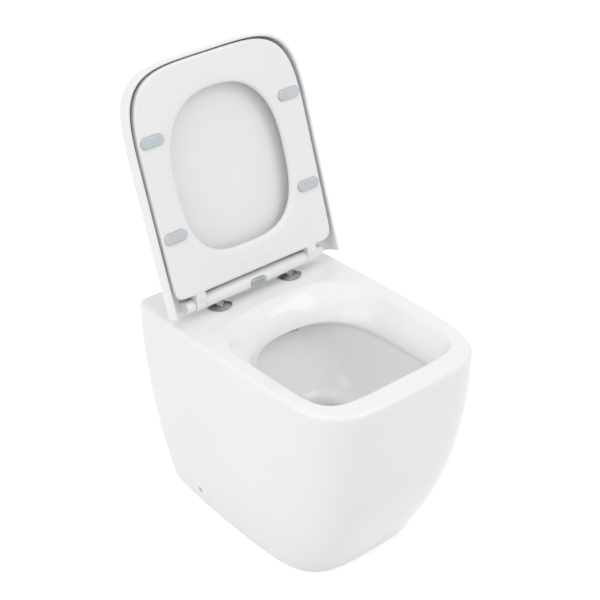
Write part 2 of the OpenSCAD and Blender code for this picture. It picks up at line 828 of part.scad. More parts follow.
module seat_damper_shaft() {
    color("gray")
    raised() shaft(-1, seat_knuckle_in, seat_knuckle_out, shaft_r);
}

module lid_damper_shaft() {
    color("gray")
    raised() shaft(1, lid_knuckle_in, shaft_end - tip_len, shaft_flat);
}

module bush(side, start, length) {
    color("dimgray")
    raised()
    outward(side, start)
        difference() {
            cylinder(r = bush_r, h = length);
            translate([0, 0, -eps]) cylinder(r = shaft_r + run_gap, h = length + 2 * eps);
        }
}

// ---- quick release, as it lies about the hinge line ----

blade_gap = 0.3;
socket_gap = 0.2;
button_r = bar_r + button_proud;
cheek_in = latch_t / 2 + 0.25;
cheek_out = button_h / 2 - 1.9;
cheek_x = button_len / 2 - 2.5;
cheek_back = 3.5;
body_back = -7.2;
slant = latch_travel / button_travel;
head_x = 9.5;
head_w = 2.4;
head_h = cheek_out - 0.6;
head_y = 3;
slot_front = -head_y - button_travel - blade_gap;
eye_x = hinge_x - latch_travel;
eye_hole_r = post_r + socket_gap;
eye_r = eye_hole_r + 1.8;
channel_y = eye_r + blade_gap;
channel_x = hinge_x + eye_r + blade_gap;
pocket_back = cheek_back + button_travel + blade_gap;

// Plan of a slanted plate across X, from y = front to y = back
function slanted(side, width, front, back) = [
    [side * (head_x - slant * front - width / 2), front],
    [side * (head_x - slant * front + width / 2), front],
    [side * (head_x - slant * back + width / 2), back],
    [side * (head_x - slant * back - width / 2), back]];

// The children stand upright on the XZ plane, from y = front to y = back
module upright(front, back) {
    translate([0, back, 0]) rotate([90, 0, 0]) linear_extrude(height = back - front) children();
}

module oval(length, height) {
    translate([-(length - height) / 2, 0]) circle(d = height);
    translate([(length - height) / 2, 0]) circle(d = height);
    square([length - height, height], center = true);
}

module button() {
    color("darkgray")
    at_hinge()
    difference() {
        union() {
            intersection() {
                upright(-button_r - eps, body_back + 4.2) oval(button_len, button_h);
                outward(1, -button_len) cylinder(r = button_r, h = 2 * button_len);
            }
            translate([-cheek_x, body_back, -cheek_out])
                cube([2 * cheek_x, cheek_back - body_back, 2 * cheek_out]);
        }
        translate([-button_len, body_back, -cheek_in])
            cube([2 * button_len, cheek_back - body_back + eps, 2 * cheek_in]);
        for (side = [-1, 1])
            translate([0, 0, -button_h])
                linear_extrude(height = 2 * button_h)
                    polygon(slanted(side, head_w + 2 * blade_gap, slot_front, cheek_back + eps));
    }
}

spring_x = 3.2;
spring_start = body_back;
spring_end = pocket_back;

module spring(side) {
    sides = 8;
    per_turn = 10;
    count = per_turn * spring_turns;
    length = spring_end - spring_start - 2 * wire_r;
    pts = [for (i = [0:count]) for (k = [0:sides - 1])
        let (
            a = 360 * i / per_turn,
            b = 360 * k / sides,
            r = spring_r + wire_r * cos(b),
            y = spring_start + wire_r + length * i / count)
        [side * spring_x + r * cos(a), y + wire_r * sin(b), r * sin(a)]];
    walls = [for (i = [0:count - 1]) for (k = [0:sides - 1])
        let (m = (k + 1) % sides)
        for (f = [[(i + 1) * sides + m, i * sides + m, i * sides + k],
                  [(i + 1) * sides + k, (i + 1) * sides + m, i * sides + k]]) f];
    ends = [for (k = [1:sides - 2]) for (f = [[0, k, k + 1],
        [count * sides, count * sides + k + 1, count * sides + k]]) f];
    polyhedron(points = pts, faces = concat(walls, ends), convexity = 10);
}

module button_springs() {
    color("silver")
    at_hinge() for (side = [-1, 1]) spring(side);
}

module latch(side) {
    color("silver")
    at_hinge()
    difference() {
        union() {
            translate([side > 0 ? head_x : -eye_x, -latch_w / 2, -latch_t / 2])
                cube([eye_x - head_x, latch_w, latch_t]);
            translate([side * eye_x, 0, -latch_t / 2]) cylinder(r = eye_r, h = latch_t);
            translate([0, 0, -head_h])
                linear_extrude(height = 2 * head_h)
                    polygon(slanted(side, head_w, -head_y, head_y));
        }
        translate([side * eye_x, 0, -latch_t]) cylinder(r = eye_hole_r, h = 2 * latch_t);
    }
}

// ---- hinge bar ----

trench_x = 64;
trench_front = -5;
trench_back = 6.5;
flat_z = -bar_r + 1.5;
collar_r = 8.5;

module hinge_bar() {
    color("gainsboro")
    at_hinge()
    difference() {
        outward(1, -bar_end) cylinder(r = bar_r, h = bar_len);
        upright(-bar_r - eps, 0.4) oval(button_len + 2 * blade_gap, button_h + 2 * blade_gap);
        translate([-cheek_x - blade_gap, body_back, -cheek_out - blade_gap])
            cube([2 * (cheek_x + blade_gap), pocket_back - body_back, 2 * (cheek_out + blade_gap)]);
        translate([-channel_x, -channel_y, -latch_t / 2 - blade_gap])
            cube([2 * channel_x, 2 * channel_y, latch_t + 2 * blade_gap]);
        translate([-trench_x, trench_front, -bar_r - eps])
            cube([2 * trench_x, trench_back - trench_front, bar_r + eps]);
        for (side = [-1, 1]) {
            outward(side, bar_end - damper_len - fit_gap)
                flatted(damper_r + fit_gap, damper_flat + fit_gap, damper_len + fit_gap + eps);
            translate([side * hinge_x, 0, -bar_r - eps])
                cylinder(r = post_r + fit_gap, h = bar_r + eps + post_tip + socket_gap);
            translate([side * hinge_x, 0, -bar_r - eps])
                cylinder(r = collar_r + 1, h = bar_r + eps + flat_z);
        }
    }
}

// ---- mounting ----

bar_gap = 4.1;
flange_top = hinge_up - bar_r - bar_gap;
flange_edge = 0.8;
crown_r = 9.5;
crown_steps = 8;
groove_r = eye_hole_r - latch_travel - 0.15;
groove_half = latch_t / 2 + 0.4;
stud_tip = pan_h - stud_reach;
gasket_r = flange_r - 1;
gasket_hole_r = hinge_hole_d / 2 - 0.5;
plug_r = hinge_hole_d / 2 - 0.2;
plug_h = ceramic_t * 0.7;
washer_z = deck_under - cone_h;
nut_z = washer_z - washer_t;

// Solid of revolution about a fixing hole of the deck
module turned(side, profile) {
    translate([side * hinge_x, hinge_y, 0]) rotate_extrude() polygon(profile);
}

module post(side) {
    chamfer = 1.2;
    tip = hinge_z + post_tip;
    color("silver")
    turned(side, [
        [0, stud_tip],
        [stud_r - 0.6, stud_tip],
        [stud_r, stud_tip + 0.6],
        [stud_r, pan_h + gasket_t],
        [post_r, pan_h + gasket_t],
        [post_r, pan_h + flange_top],
        [collar_r, pan_h + flange_top],
        [collar_r, hinge_z + flat_z],
        [post_r, hinge_z + flat_z],
        [post_r, hinge_z - groove_half],
        [groove_r, hinge_z - groove_half],
        [groove_r, hinge_z + groove_half],
        [post_r, hinge_z + groove_half],
        [post_r, tip - chamfer],
        [post_r - chamfer, tip],
        [0, tip]]);
}

function crown(i) =
    let (t = i / crown_steps, low = gasket_t + flange_edge)
    [mix(crown_r, flange_r, t), pan_h + mix(flange_top, low, pow(t, 1.3))];

module flange(side) {
    color("lightgray")
    turned(side, concat(
        [[post_r + fit_gap, pan_h + gasket_t], [post_r + fit_gap, pan_h + flange_top]],
        [for (i = [0:crown_steps]) crown(i)],
        [[flange_r, pan_h + gasket_t]]));
}

module gasket(side) {
    color("dimgray")
    turned(side, [
        [gasket_hole_r, pan_h],
        [gasket_hole_r, pan_h + gasket_t],
        [gasket_r, pan_h + gasket_t],
        [gasket_r, pan_h]]);
}

module cone(side) {
    color("dimgray")
    turned(side, [
        [stud_r + fit_gap, washer_z],
        [stud_r + fit_gap, deck_under + plug_h],
        [plug_r - 1.6, deck_under + plug_h],
        [plug_r, deck_under],
        [cone_r, deck_under],
        [cone_r, deck_under - 3],
        [cone_r - 3, washer_z]]);
}

module washer(side) {
    color("silver")
    turned(side, [
        [stud_r + fit_gap, nut_z],
        [stud_r + fit_gap, washer_z],
        [cone_r - 3, washer_z],
        [cone_r - 3, nut_z]]);
}

module wing_nut(side) {
    wing_t = 3.4;
    wing_h = nut_h - 2;
    color("ivory")
    translate([side * hinge_x, hinge_y, nut_z - nut_h])
    difference() {
        union() {
            cylinder(r = nut_r, h = nut_h);
            translate([-wing_span / 2 + wing_h / 2, wing_t / 2, wing_h / 2])
                rotate([90, 0, 0]) cylinder(d = wing_h, h = wing_t);
            translate([wing_span / 2 - wing_h / 2, wing_t / 2, wing_h / 2])
                rotate([90, 0, 0]) cylinder(d = wing_h, h = wing_t);
            translate([-wing_span / 2 + wing_h / 2, -wing_t / 2, 0])
                cube([wing_span - wing_h, wing_t, wing_h]);
        }
        translate([0, 0, -eps]) cylinder(r = stud_r + run_gap, h = nut_h + 2 * eps);
    }
}

pan();
seat_ring();
lid();
hinge_bar();
damper(-1);  // seat_damper
damper(1);  // lid_damper
seat_damper_shaft();
lid_damper_shaft();
bush(1, seat_knuckle_in, seat_knuckle_w);  // seat_bush
bush(-1, lid_knuckle_in, lid_bore_len);  // lid_bush
button();  // release_button
button_springs();
latch(-1);  // latch_left
latch(1);  // latch_right
post(-1);  // post_left
post(1);  // post_right
flange(-1);  // flange_left
flange(1);  // flange_right
gasket(-1);  // gasket_left
gasket(1);  // gasket_right
cone(-1);  // cone_left
cone(1);  // cone_right
washer(-1);  // washer_left
washer(1);  // washer_right
wing_nut(-1);  // wing_nut_left
wing_nut(1);  // wing_nut_right
bumper(-1, front_bumper_reach);  // bumper_front_left
bumper(1, front_bumper_reach);  // bumper_front_right
bumper(-1, rear_bumper_reach);  // bumper_rear_left
bumper(1, rear_bumper_reach);  // bumper_rear_right
lid_buffer(-1);  // lid_buffer_left
lid_buffer(1);  // lid_buffer_right
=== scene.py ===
"""The looks of a back-to-wall toilet with its seat and lid raised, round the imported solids.

Sizes are in millimetres in the part's frame until a mesh is made, and in metres after that.
"""

import json
import math

import bmesh
import bpy
import numpy as np
from mathutils import Matrix, Vector


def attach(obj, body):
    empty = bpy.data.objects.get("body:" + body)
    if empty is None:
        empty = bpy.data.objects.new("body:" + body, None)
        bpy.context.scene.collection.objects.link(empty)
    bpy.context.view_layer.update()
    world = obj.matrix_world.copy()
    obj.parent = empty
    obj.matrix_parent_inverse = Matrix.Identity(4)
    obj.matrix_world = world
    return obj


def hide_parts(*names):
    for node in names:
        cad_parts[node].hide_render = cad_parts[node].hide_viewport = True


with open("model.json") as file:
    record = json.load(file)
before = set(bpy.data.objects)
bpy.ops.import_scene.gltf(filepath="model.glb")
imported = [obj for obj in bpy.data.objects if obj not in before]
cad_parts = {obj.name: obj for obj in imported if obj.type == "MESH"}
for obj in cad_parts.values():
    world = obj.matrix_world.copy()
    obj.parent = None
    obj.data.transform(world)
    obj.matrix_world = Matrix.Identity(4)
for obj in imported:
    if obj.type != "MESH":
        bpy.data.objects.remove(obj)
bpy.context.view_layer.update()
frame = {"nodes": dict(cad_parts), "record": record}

MM = 0.001

# ---- driving sizes of the pan ----

PAN_W, PAN_L, PAN_H = 366, 512, 400
PAN_REAR_W = 354
# Distance from the wall of the pan's widest place
PAN_MID = 228
# How far the outlines run past the plane of the wall, where they are cut off
PAST_WALL = 3
FOOT_W, FOOT_REAR_W, FOOT_L = 280, 251, 404
# Rounding of the foot's edge, and the inset halfway round it
FOOT_ROUND, FOOT_EASE = 2.5, 0.7
# Exponents of the skirt's swelling from the foot to the rim, at its sides and its front
SIDE_BULGE, FRONT_BULGE = 1.96, 2.38
# Squareness of an outline: 2 makes an ellipse, and more makes it squarer
RIM_SQUARE, FOOT_SQUARE, WALL_SQUARE = 4.8, 3.9, 30
RIM_ROUND = 9
CERAMIC_T = 12

MOUTH_W, MOUTH_FRONT, MOUTH_REAR = 302, 468, 152
MOUTH_SQUARE, MOUTH_REAR_SQUARE = 5.3, 3.2
# How far outside the mouth the sloped entry starts, on the deck and on its hollow underside
ENTRY_OUT, ENTRY_UNDER_OUT = 4, 10
LIP_W, LIP_FRONT, LIP_REAR, LIP_DROP = 238, 462, 187, 50
LIP_SQUARE, LIP_REAR_SQUARE = 5, 2.5
LIP_T = 14
# Ring under the lip: how far out it lies, its share of the rear undercut, its height over the bowl
LIP_TURN_OUT, LIP_TURN_REAR, LIP_TURN_UP = 3, 0.55, 5
UNDERCUT, REAR_UNDERCUT = 6, 30
SUMP_Z, SUMP_DEPTH, SUMP_W = 218, 142, 120
SUMP_FRONT, SUMP_REAR = 344, 224
# Exponents with which the bowl moves in toward the sump: two for its sides and front, one for its
# rear and one for its centre
BOWL_BEND, BOWL_TURN, BOWL_REAR_BEND, BOWL_MID_BEND = 2.1, 0.72, 1.3, 1.2
BOWL_SQUARE = 2.6
# Angle over which the sump's outline shrinks toward its floor, in degrees
SUMP_SWEEP = 80

OUTLET_R, OUTLET_Z, OUTLET_LEN, OUTLET_BACK = 51, 180, 48, 8
TRAP_R, TRAP_LOW_R, TRAP_WALL, TRAP_SHY = 38, 27, 8, 0.5
# Distance of the trap's leg behind the sump's rear, and height of its mouth over the sump's floor
TRAP_SET, TRAP_LIFT = 40.7, 1
TRAP_BEND, TRAP_WEIR_UP = 46, 36
INLET_R, INLET_DROP, INLET_T, INLET_DEPTH, INLET_BACK = 27.5, 73, 9, 52, 20
# Flush slot: its size, its height over the inlet's centre, and how far it runs past the lip
SLOT_W, SLOT_H, SLOT_RISE, SLOT_PAST = 96, 8, 3, 8
# Flush chamber: how far it laps over the inlet, how far it stays short of the bowl, its rounding
CHAMBER_LAP, CHAMBER_SET, CHAMBER_ROUND = 12, 2, 3

HINGE_X = 77.5
HINGE_HOLE_R = 7.5
SIDE_HOLE_R, SIDE_HOLE_Z, SIDE_HOLE_BACK = 5, 33, 104
SIDE_BOSS_LEN, SIDE_BOSS_WALL = 24, 8
# Rounding of a boss's end
SIDE_BOSS_EASE = 2
# Depth and spread of the flare at each side hole's mouth, and how far outside the skirt it ends
SIDE_FLARE_H, SIDE_FLARE_R, SIDE_FLARE_OUT = 1.2, 1.0, 0.2
# Height of the beam over the rear opening, and width of the edge beside it
REAR_BEAM, REAR_EDGE = 26, CERAMIC_T + 2

TRAP_LEG = SUMP_REAR - TRAP_SET
INLET_Z = PAN_H - INLET_DROP
SLOT_Z = INLET_Z + SLOT_RISE
# Distance of the flush chamber's rear face from the wall
CHAMBER_BACK = INLET_BACK + INLET_DEPTH - CHAMBER_LAP
DECK_UNDER = PAN_H - CERAMIC_T
SUMP_FLOOR = SUMP_Z - SUMP_DEPTH
LIP_MID, SUMP_MID = -(LIP_FRONT + LIP_REAR) / 2, -(SUMP_FRONT + SUMP_REAR) / 2
UNDER_LIP_Z = PAN_H - LIP_DROP - LIP_T

# ---- driving sizes of the seat, the lid and their hinge ----

HINGE_BACK, HINGE_UP = 103, 22
OPEN_ANGLE = 107.5
BAR_R, BAR_LEN = 12.6, 224
SEAT_KNUCKLE_W, SEAT_KNUCKLE_R = 19, 12.8
LID_KNUCKLE_W, LID_KNUCKLE_R = 18, 10.5
# Wall at the outer end of the bore in a lid's knuckle, and the eased edges of the knuckles
KNUCKLE_END, SEAT_KNUCKLE_EASE, LID_KNUCKLE_EASE = 3, 0.7, 0.6
# Gap between neighbouring knuckles, and between the seat's knuckles and the lid's inside
KNUCKLE_GAP, LID_KNUCKLE_GAP = 0.5, 0.5
# Gap under a bumper or a buffer, and the clearances of running and of fitted parts
REST_GAP, RUN_GAP, FIT_GAP = 0.3, 0.05, 0.1

SEAT_W, SEAT_REACH, SEAT_REAR = 341, 397.5, 19.2
SEAT_LIFT, SEAT_T = 4.5, 18
SEAT_SQUARE, SEAT_REAR_SQUARE = 4.4, 22
HOLE_W, HOLE_FRONT, HOLE_REAR = 230, 341, 69
HOLE_SQUARE, HOLE_REAR_SQUARE = 2.4, 3
LID_SIDE_GAP, LID_FRONT_GAP, LID_LIFT = 6, 2.5, 4.5
LID_REAR, LID_T, LID_ROUND = 8, 4.5, 16

BUMPER_LEN, BUMPER_W, BUMPER_SEAT = 45, 19, 4
# Gap round a bumper in its pocket, and depth under the seat of the ring midway down its side
POCKET_GAP, BUMPER_MIDWAY = 0.3, 1
# Distances of the bumpers from the seat's side, its front edge and its rear edge
BUMPER_SIDE, BUMPER_FRONT, BUMPER_REAR = 27.5, 109.5, 106.8
BUFFER_R, BUFFER_SIDE, BUFFER_FRONT = 6, 54.5, 38
# Rounding of a buffer's face, the inset halfway round it, and the buffer's peg
BUFFER_ROUND, BUFFER_EASE, PEG_R, PEG_LEN = 1.6, 0.5, 2.5, 2.4
SHAFT_R, BUSH_T = 4, 1.8
POST_R = 5
FLANGE_R, FLANGE_EDGE, CROWN_R, GASKET_T = 22, 0.8, 9.5, 1
# Gap between the hinge bar and the flanges
BAR_GAP = 4.1
BUTTON_LEN, BUTTON_H, BUTTON_PROUD = 34, 15, 0.8

HINGE_Y, HINGE_Z = -HINGE_BACK, PAN_H + HINGE_UP
SEAT_KNUCKLE_IN = BAR_LEN / 2 + KNUCKLE_GAP
LID_KNUCKLE_IN = SEAT_KNUCKLE_IN + SEAT_KNUCKLE_W + KNUCKLE_GAP
SEAT_UNDER = SEAT_LIFT - HINGE_UP
SEAT_TOP = SEAT_UNDER + SEAT_T
LID_W = SEAT_W + 2 * (LID_SIDE_GAP + LID_T)
LID_REACH = SEAT_REACH + LID_FRONT_GAP + LID_T
LID_INSIDE = SEAT_KNUCKLE_R + LID_KNUCKLE_GAP
LID_TOP = LID_INSIDE + LID_T
LID_BRIM = LID_LIFT - HINGE_UP
BUMPER_H = SEAT_LIFT - REST_GAP
BUMPER_X = SEAT_W / 2 - BUMPER_SIDE
BUMPER_REACHES = {"front": SEAT_REACH - BUMPER_FRONT, "rear": SEAT_REAR + BUMPER_REAR}
BUFFER_X, BUFFER_REACH = SEAT_W / 2 - BUFFER_SIDE, SEAT_REACH - BUFFER_FRONT
BUSH_R = SHAFT_R + RUN_GAP + BUSH_T
FLANGE_TOP = HINGE_UP - BAR_R - BAR_GAP

# Steps along an eighth of every outline, and cuts between two control rings
EIGHTH = 24
CUTS = 4
# How far a cutter runs past the face that it opens
PAST = 1
# Shorter than any real length
TINY = 1e-6

# ---- outlines and skins ----

def mix(a, b, t):
    return a + (b - a) * t


def quarter(n):
    """Points of a unit quarter outline of squareness n, from its side (1, 0) to its end (0, 1)."""
    s = 0.5 ** (1 / n) * np.sin(np.pi / 2 * np.arange(EIGHTH + 1) / EIGHTH)
    o = (1 - s ** n) ** (1 / n)
    return np.stack([np.concatenate([o, s[-2::-1]]), np.concatenate([s, o[-2::-1]])], axis=1)


def outline(w, wr, front, rear, mid, nf, nb, z):
    """A closed level outline: half width w (wr at its rear end), from front to rear about mid."""
    f, b = quarter(nf), quarter(nb)
    ends = [(f, 1, front), (f[::-1], -1, front), (b, -1, rear), (b[::-1], 1, rear)]
    points = []
    for k, (q, side, reach) in enumerate(ends):
        half = w if k < 2 else w - (w - wr) * q[:, 1] ** 2
        x = side * half * q[:, 0]
        y = mid + (reach - mid) * q[:, 1]
        points.append(np.stack([x, y, np.full(len(q), float(z))], axis=1)[:-1])
    return np.concatenate(points)


def at_height(ring, z):
    ring = ring.copy()
    ring[:, 2] = z
    return ring


def smooth(rings, closed=False, creases=(), cuts=CUTS):
    """More rings on a curve through the given ones, with a sharp edge at each crease."""
    rings = np.array(rings)
    n = len(rings)
    step = np.linalg.norm(np.roll(rings, -1, axis=0) - rings, axis=2).mean(axis=1)
    step = np.maximum(step, TINY)

    def slope(i, j):
        """Rate of change from ring i to the next one."""
        return (rings[j % n] - rings[i % n]) / step[i % n]

    def tangent(i, side):
        """Tangent at ring i, seen from the stretch behind it (-1) or ahead of it (1)."""
        first, last = (not closed and i == 0), (not closed and i == n - 1)
        if first or (i in creases and side > 0):
            return slope(i, i + 1)
        if last or (i in creases and side < 0):
            return slope(i - 1, i)
        behind, ahead = step[(i - 1) % n], step[i % n]
        return (slope(i - 1, i) * ahead + slope(i, i + 1) * behind) / (behind + ahead)

    out = []
    for i in range(n if closed else n - 1):
        a, b = rings[i], rings[(i + 1) % n]
        ta, tb = tangent(i, 1) * step[i], tangent((i + 1) % n, -1) * step[i]
        for t in np.arange(cuts) / cuts:
            out.append(
                (2 * t ** 3 - 3 * t ** 2 + 1) * a + (t ** 3 - 2 * t ** 2 + t) * ta
                + (3 * t ** 2 - 2 * t ** 3) * b + (t ** 3 - t ** 2) * tb)
    if not closed:
        out.append(rings[-1])
    return np.array(out)


def skin(name, rings, poles=None, closed=False):
    """A closed mesh over rings of points, ended by two poles or joined end to end."""
    rings = np.array(rings)
    n, m, _ = rings.shape
    points = rings.reshape(-1, 3)
    faces = []
    for r in range(n if closed else n - 1):
        s = (r + 1) % n
        for j in range(m):
            k = (j + 1) % m
            faces.append((r * m + j, r * m + k, s * m + k, s * m + j))
    if poles is not None:
        first = len(points)
        points = np.concatenate([points, np.array(poles, dtype=float)])
        for j in range(m):
            k = (j + 1) % m
            faces.append((first, k, j))
            faces.append((first + 1, (n - 1) * m + j, (n - 1) * m + k))
    return solid(name, points, faces)


def solid(name, points, faces):
    """A mesh object from points in millimetres, with its faces turned outward."""
    mesh = bpy.data.meshes.new(name)
    mesh.from_pydata((np.asarray(points) * MM).tolist(), [], [tuple(map(int, f)) for f in faces])
    bm = bmesh.new()
    bm.from_mesh(mesh)
    bmesh.ops.recalc_face_normals(bm, faces=bm.faces)
    bm.to_mesh(mesh)
    bm.free()
    obj = bpy.data.objects.new(name, mesh)
    bpy.context.scene.collection.objects.link(obj)
    return obj


def lathe(name, profile, sides=96, place=None):
    """A solid of revolution about Z of (radius, height) points, moved by a matrix in millimetres."""
    turn = 2 * np.pi * np.arange(sides) / sides
    inner = [p for p in profile if p[0] > TINY]
    rings = [
        np.stack([r * np.cos(turn), r * np.sin(turn), np.full(sides, float(h))], axis=1)
        for r, h in inner]
    if len(inner) == len(profile):
        obj = skin(name, rings, closed=True)
    else:
        obj = skin(name, rings, poles=[(0, 0, profile[0][1]), (0, 0, profile[-1][1])])
    if place is not None:
        move(obj, place)
    return obj


def move(obj, matrix):
    """Moves an object's mesh by a matrix that is written in millimetres."""
    m = matrix.copy()
    m.translation = m.translation * MM
    obj.data.transform(m)


def shift(x, y, z):
    return Matrix.Translation((x, y, z))


def outward(side, distance):
    """Turns +Z outward along X and sets it at a distance from the centre line."""
    return shift(side * distance, 0, 0) @ Matrix.Rotation(math.radians(side * 90), 4, "Y")


AT_HINGE = shift(0, HINGE_Y, HINGE_Z)
RAISED = AT_HINGE @ Matrix.Rotation(math.radians(-OPEN_ANGLE), 4, "X")
# Lays a section of (y, z) points so that a prism of it runs along X
ACROSS = Matrix(((0, 0, 1, 0), (1, 0, 0, 0), (0, 1, 0, 0), (0, 0, 0, 1)))
# Stands a plan of (x, z) points up, so that a prism of it runs away from the wall
UPRIGHT = Matrix.Rotation(math.radians(90), 4, "X")


def block(name, low, high, bevel=0):
    """A box between two corners, with its edges rounded by bevel."""
    bm = bmesh.new()
    bmesh.ops.create_cube(bm, size=1)
    low, high = Vector(low), Vector(high)
    size = high - low
    for v in bm.verts:
        v.co = low + Vector((size[i] * (v.co[i] + 0.5) for i in range(3)))
    if bevel:
        bmesh.ops.bevel(bm, geom=bm.edges[:], offset=bevel, segments=4, affect="EDGES", profile=0.5)
    points = [v.co[:] for v in bm.verts]
    faces = [[v.index for v in f.verts] for f in bm.faces]
    bm.free()
    return solid(name, points, faces)


def prism(name, plan, low, high, place=None):
    """A plan of (x, y) points, raised from low to high."""
    n = len(plan)
    points = [(x, y, low) for x, y in plan] + [(x, y, high) for x, y in plan]
    faces = [list(range(n))[::-1], [n + i for i in range(n)]]
    faces += [(i, (i + 1) % n, n + (i + 1) % n, n + i) for i in range(n)]
    obj = solid(name, points, faces)
    if place is not None:
        move(obj, place)
    return obj


def pill_plan(length, width, steps=24):
    """Outline of a plate with round ends, its long side along X."""
    reach, r = (length - width) / 2, width / 2
    turn = [math.pi * (i / steps - 0.5) for i in range(steps + 1)]
    right = [(reach + r * math.cos(a), r * math.sin(a)) for a in turn]
    return right + [(-x, -y) for x, y in right]


def bore(r, low, high):
    """Profile of a plain round cutter."""
    return [(0, low), (r, low), (r, high), (0, high)]


def rod(name, r, length, ease, place):
    """A round rod along its own Z with both rims eased."""
    return lathe(name, [
        (0, 0), (r - ease, 0), (r, ease), (r, length - ease), (r - ease, length), (0, length)], place=place)


def finish_mesh(obj):
    """Replaces an object's mesh by what its modifiers make of it."""
    graph = bpy.context.evaluated_depsgraph_get()
    mesh = bpy.data.meshes.new_from_object(obj.evaluated_get(graph))
    obj.modifiers.clear()
    obj.data = mesh


def combine(obj, operation, *tools):
    """Joins tools to an object, or cuts them from it, and removes them."""
    for tool in tools:
        mod = obj.modifiers.new("combine", "BOOLEAN")
        mod.solver = "MANIFOLD"
        mod.operation = operation
        mod.object = tool
        finish_mesh(obj)
        bpy.data.objects.remove(tool)
    return obj


def join(obj, *tools):
    return combine(obj, "UNION", *tools)


def cut(obj, *tools):
    return combine(obj, "DIFFERENCE", *tools)


def soften(obj, angle=32):
    """Smooth shading, with edges sharper than the angle kept."""
    obj.data.shade_smooth()
    obj.data.set_sharp_from_angle(angle=math.radians(angle))
    return obj


# ---- pan ----

# Rings up each stretch of the pan's skin
SUMP_RINGS, BOWL_RINGS, RIM_RINGS, SKIRT_RINGS, INSIDE_RINGS = 4, 9, 6, 16, 8
# The sloped entry from the deck to the lip: share of the way in and share of the drop
ENTRY = [(0, 0), (0.06, 0.02), (0.15, 0.062), (0.27, 0.135), (0.42, 0.24), (0.58, 0.37), (0.74, 0.535),
         (0.87, 0.7), (0.96, 0.87), (1, 1)]
ENTRY_UNDER = ENTRY[::3]
# Shares of the way from the entry to the rim's rounding
DECK_SHARES = (0.15, 0.5, 0.85)
# Heights at which the rear opening's sides follow the skirt
REAR_LEVELS = (-PAST, 0, 20, 60, 95, 130, 175, 220, 265, 310, PAN_H - REAR_BEAM)


def swell(z):
    """Shares of the height, of the growth in width and of the growth in length at a height."""
    t = min(z / (PAN_H - RIM_ROUND), 1)
    return t, 1 - (1 - t) ** SIDE_BULGE, 1 - (1 - t) ** FRONT_BULGE


def skirt_out(z, inset):
    t, s, f = swell(z)
    return outline(
        mix(FOOT_W, PAN_W, s) / 2 - inset, mix(FOOT_REAR_W, PAN_REAR_W, s) / 2 - inset,
        -mix(FOOT_L, PAN_L, f) + inset, PAST_WALL, -PAN_MID,
        mix(FOOT_SQUARE, RIM_SQUARE, t), WALL_SQUARE, z)


def rear_half(z):
    return mix(FOOT_REAR_W, PAN_REAR_W, swell(z)[1]) / 2


def side_half(back, z):
    w = mix(FOOT_W, PAN_W, swell(z)[1]) / 2
    return w - (w - rear_half(z)) * ((PAN_MID - back) / (PAN_MID + PAST_WALL)) ** 2


def skirt_in(z):
    ring = skirt_out(z, CERAMIC_T)
    ring[:, 1] = np.minimum(ring[:, 1], -CERAMIC_T)
    return ring


def mouth(inset):
    half = MOUTH_W / 2 - inset
    return outline(
        half, half, -MOUTH_FRONT + inset, -MOUTH_REAR - inset, -(MOUTH_FRONT + MOUTH_REAR) / 2,
        MOUTH_SQUARE, MOUTH_REAR_SQUARE, 0)


def lip(set_back, rear_back, z):
    half = LIP_W / 2 + set_back
    return outline(
        half, half, -LIP_FRONT - set_back, -LIP_REAR + rear_back, LIP_MID,
        LIP_SQUARE, LIP_REAR_SQUARE, z)


def entry_ring(way, drop):
    return at_height(mix(mouth(-ENTRY_OUT), lip(0, 0, 0), way), PAN_H - LIP_DROP * drop)


def entry_under_ring(way, drop):
    ring = mix(mouth(-ENTRY_UNDER_OUT), bowl_ring(0, CERAMIC_T), way)
    return at_height(ring, mix(DECK_UNDER, PAN_H - LIP_DROP, drop))


def bowl_ring(t, wall):
    """Outline of the bowl, grown by a wall, from under the lip (t = 0) to the sump (t = 1)."""
    e = 1 - (1 - t ** BOWL_BEND) ** BOWL_TURN
    half = mix(LIP_W / 2 + UNDERCUT, SUMP_W / 2, e) + wall
    return outline(
        half, half, -mix(LIP_FRONT + UNDERCUT, SUMP_FRONT, e) - wall,
        -mix(LIP_REAR - REAR_UNDERCUT, SUMP_REAR, t ** BOWL_REAR_BEND) + wall,
        mix(LIP_MID, SUMP_MID, t ** BOWL_MID_BEND),
        mix(LIP_SQUARE, BOWL_SQUARE, t), mix(LIP_REAR_SQUARE, BOWL_SQUARE, t), mix(UNDER_LIP_Z, SUMP_Z, t))


def sump_ring(t, wall):
    """Outline of the sump, grown by a wall, from its top (t = 0) to its floor (t = 1)."""
    k = math.cos(math.radians(SUMP_SWEEP * t))
    side, end = SUMP_W / 2 * k + wall, (SUMP_FRONT - SUMP_REAR) / 2 * k
    return outline(
        side, side, SUMP_MID - end - wall, SUMP_MID + end + wall,
        SUMP_MID, BOWL_SQUARE, BOWL_SQUARE, SUMP_Z - SUMP_DEPTH * math.sin(math.pi / 2 * t) - wall * t)


def basin_rings(wall):
    """Rings down the bowl and the sump, grown by a wall."""
    bowl = [bowl_ring(i / BOWL_RINGS, wall) for i in range(BOWL_RINGS + 1)]
    return bowl + [sump_ring(i / SUMP_RINGS, wall) for i in range(1, SUMP_RINGS + 1)]


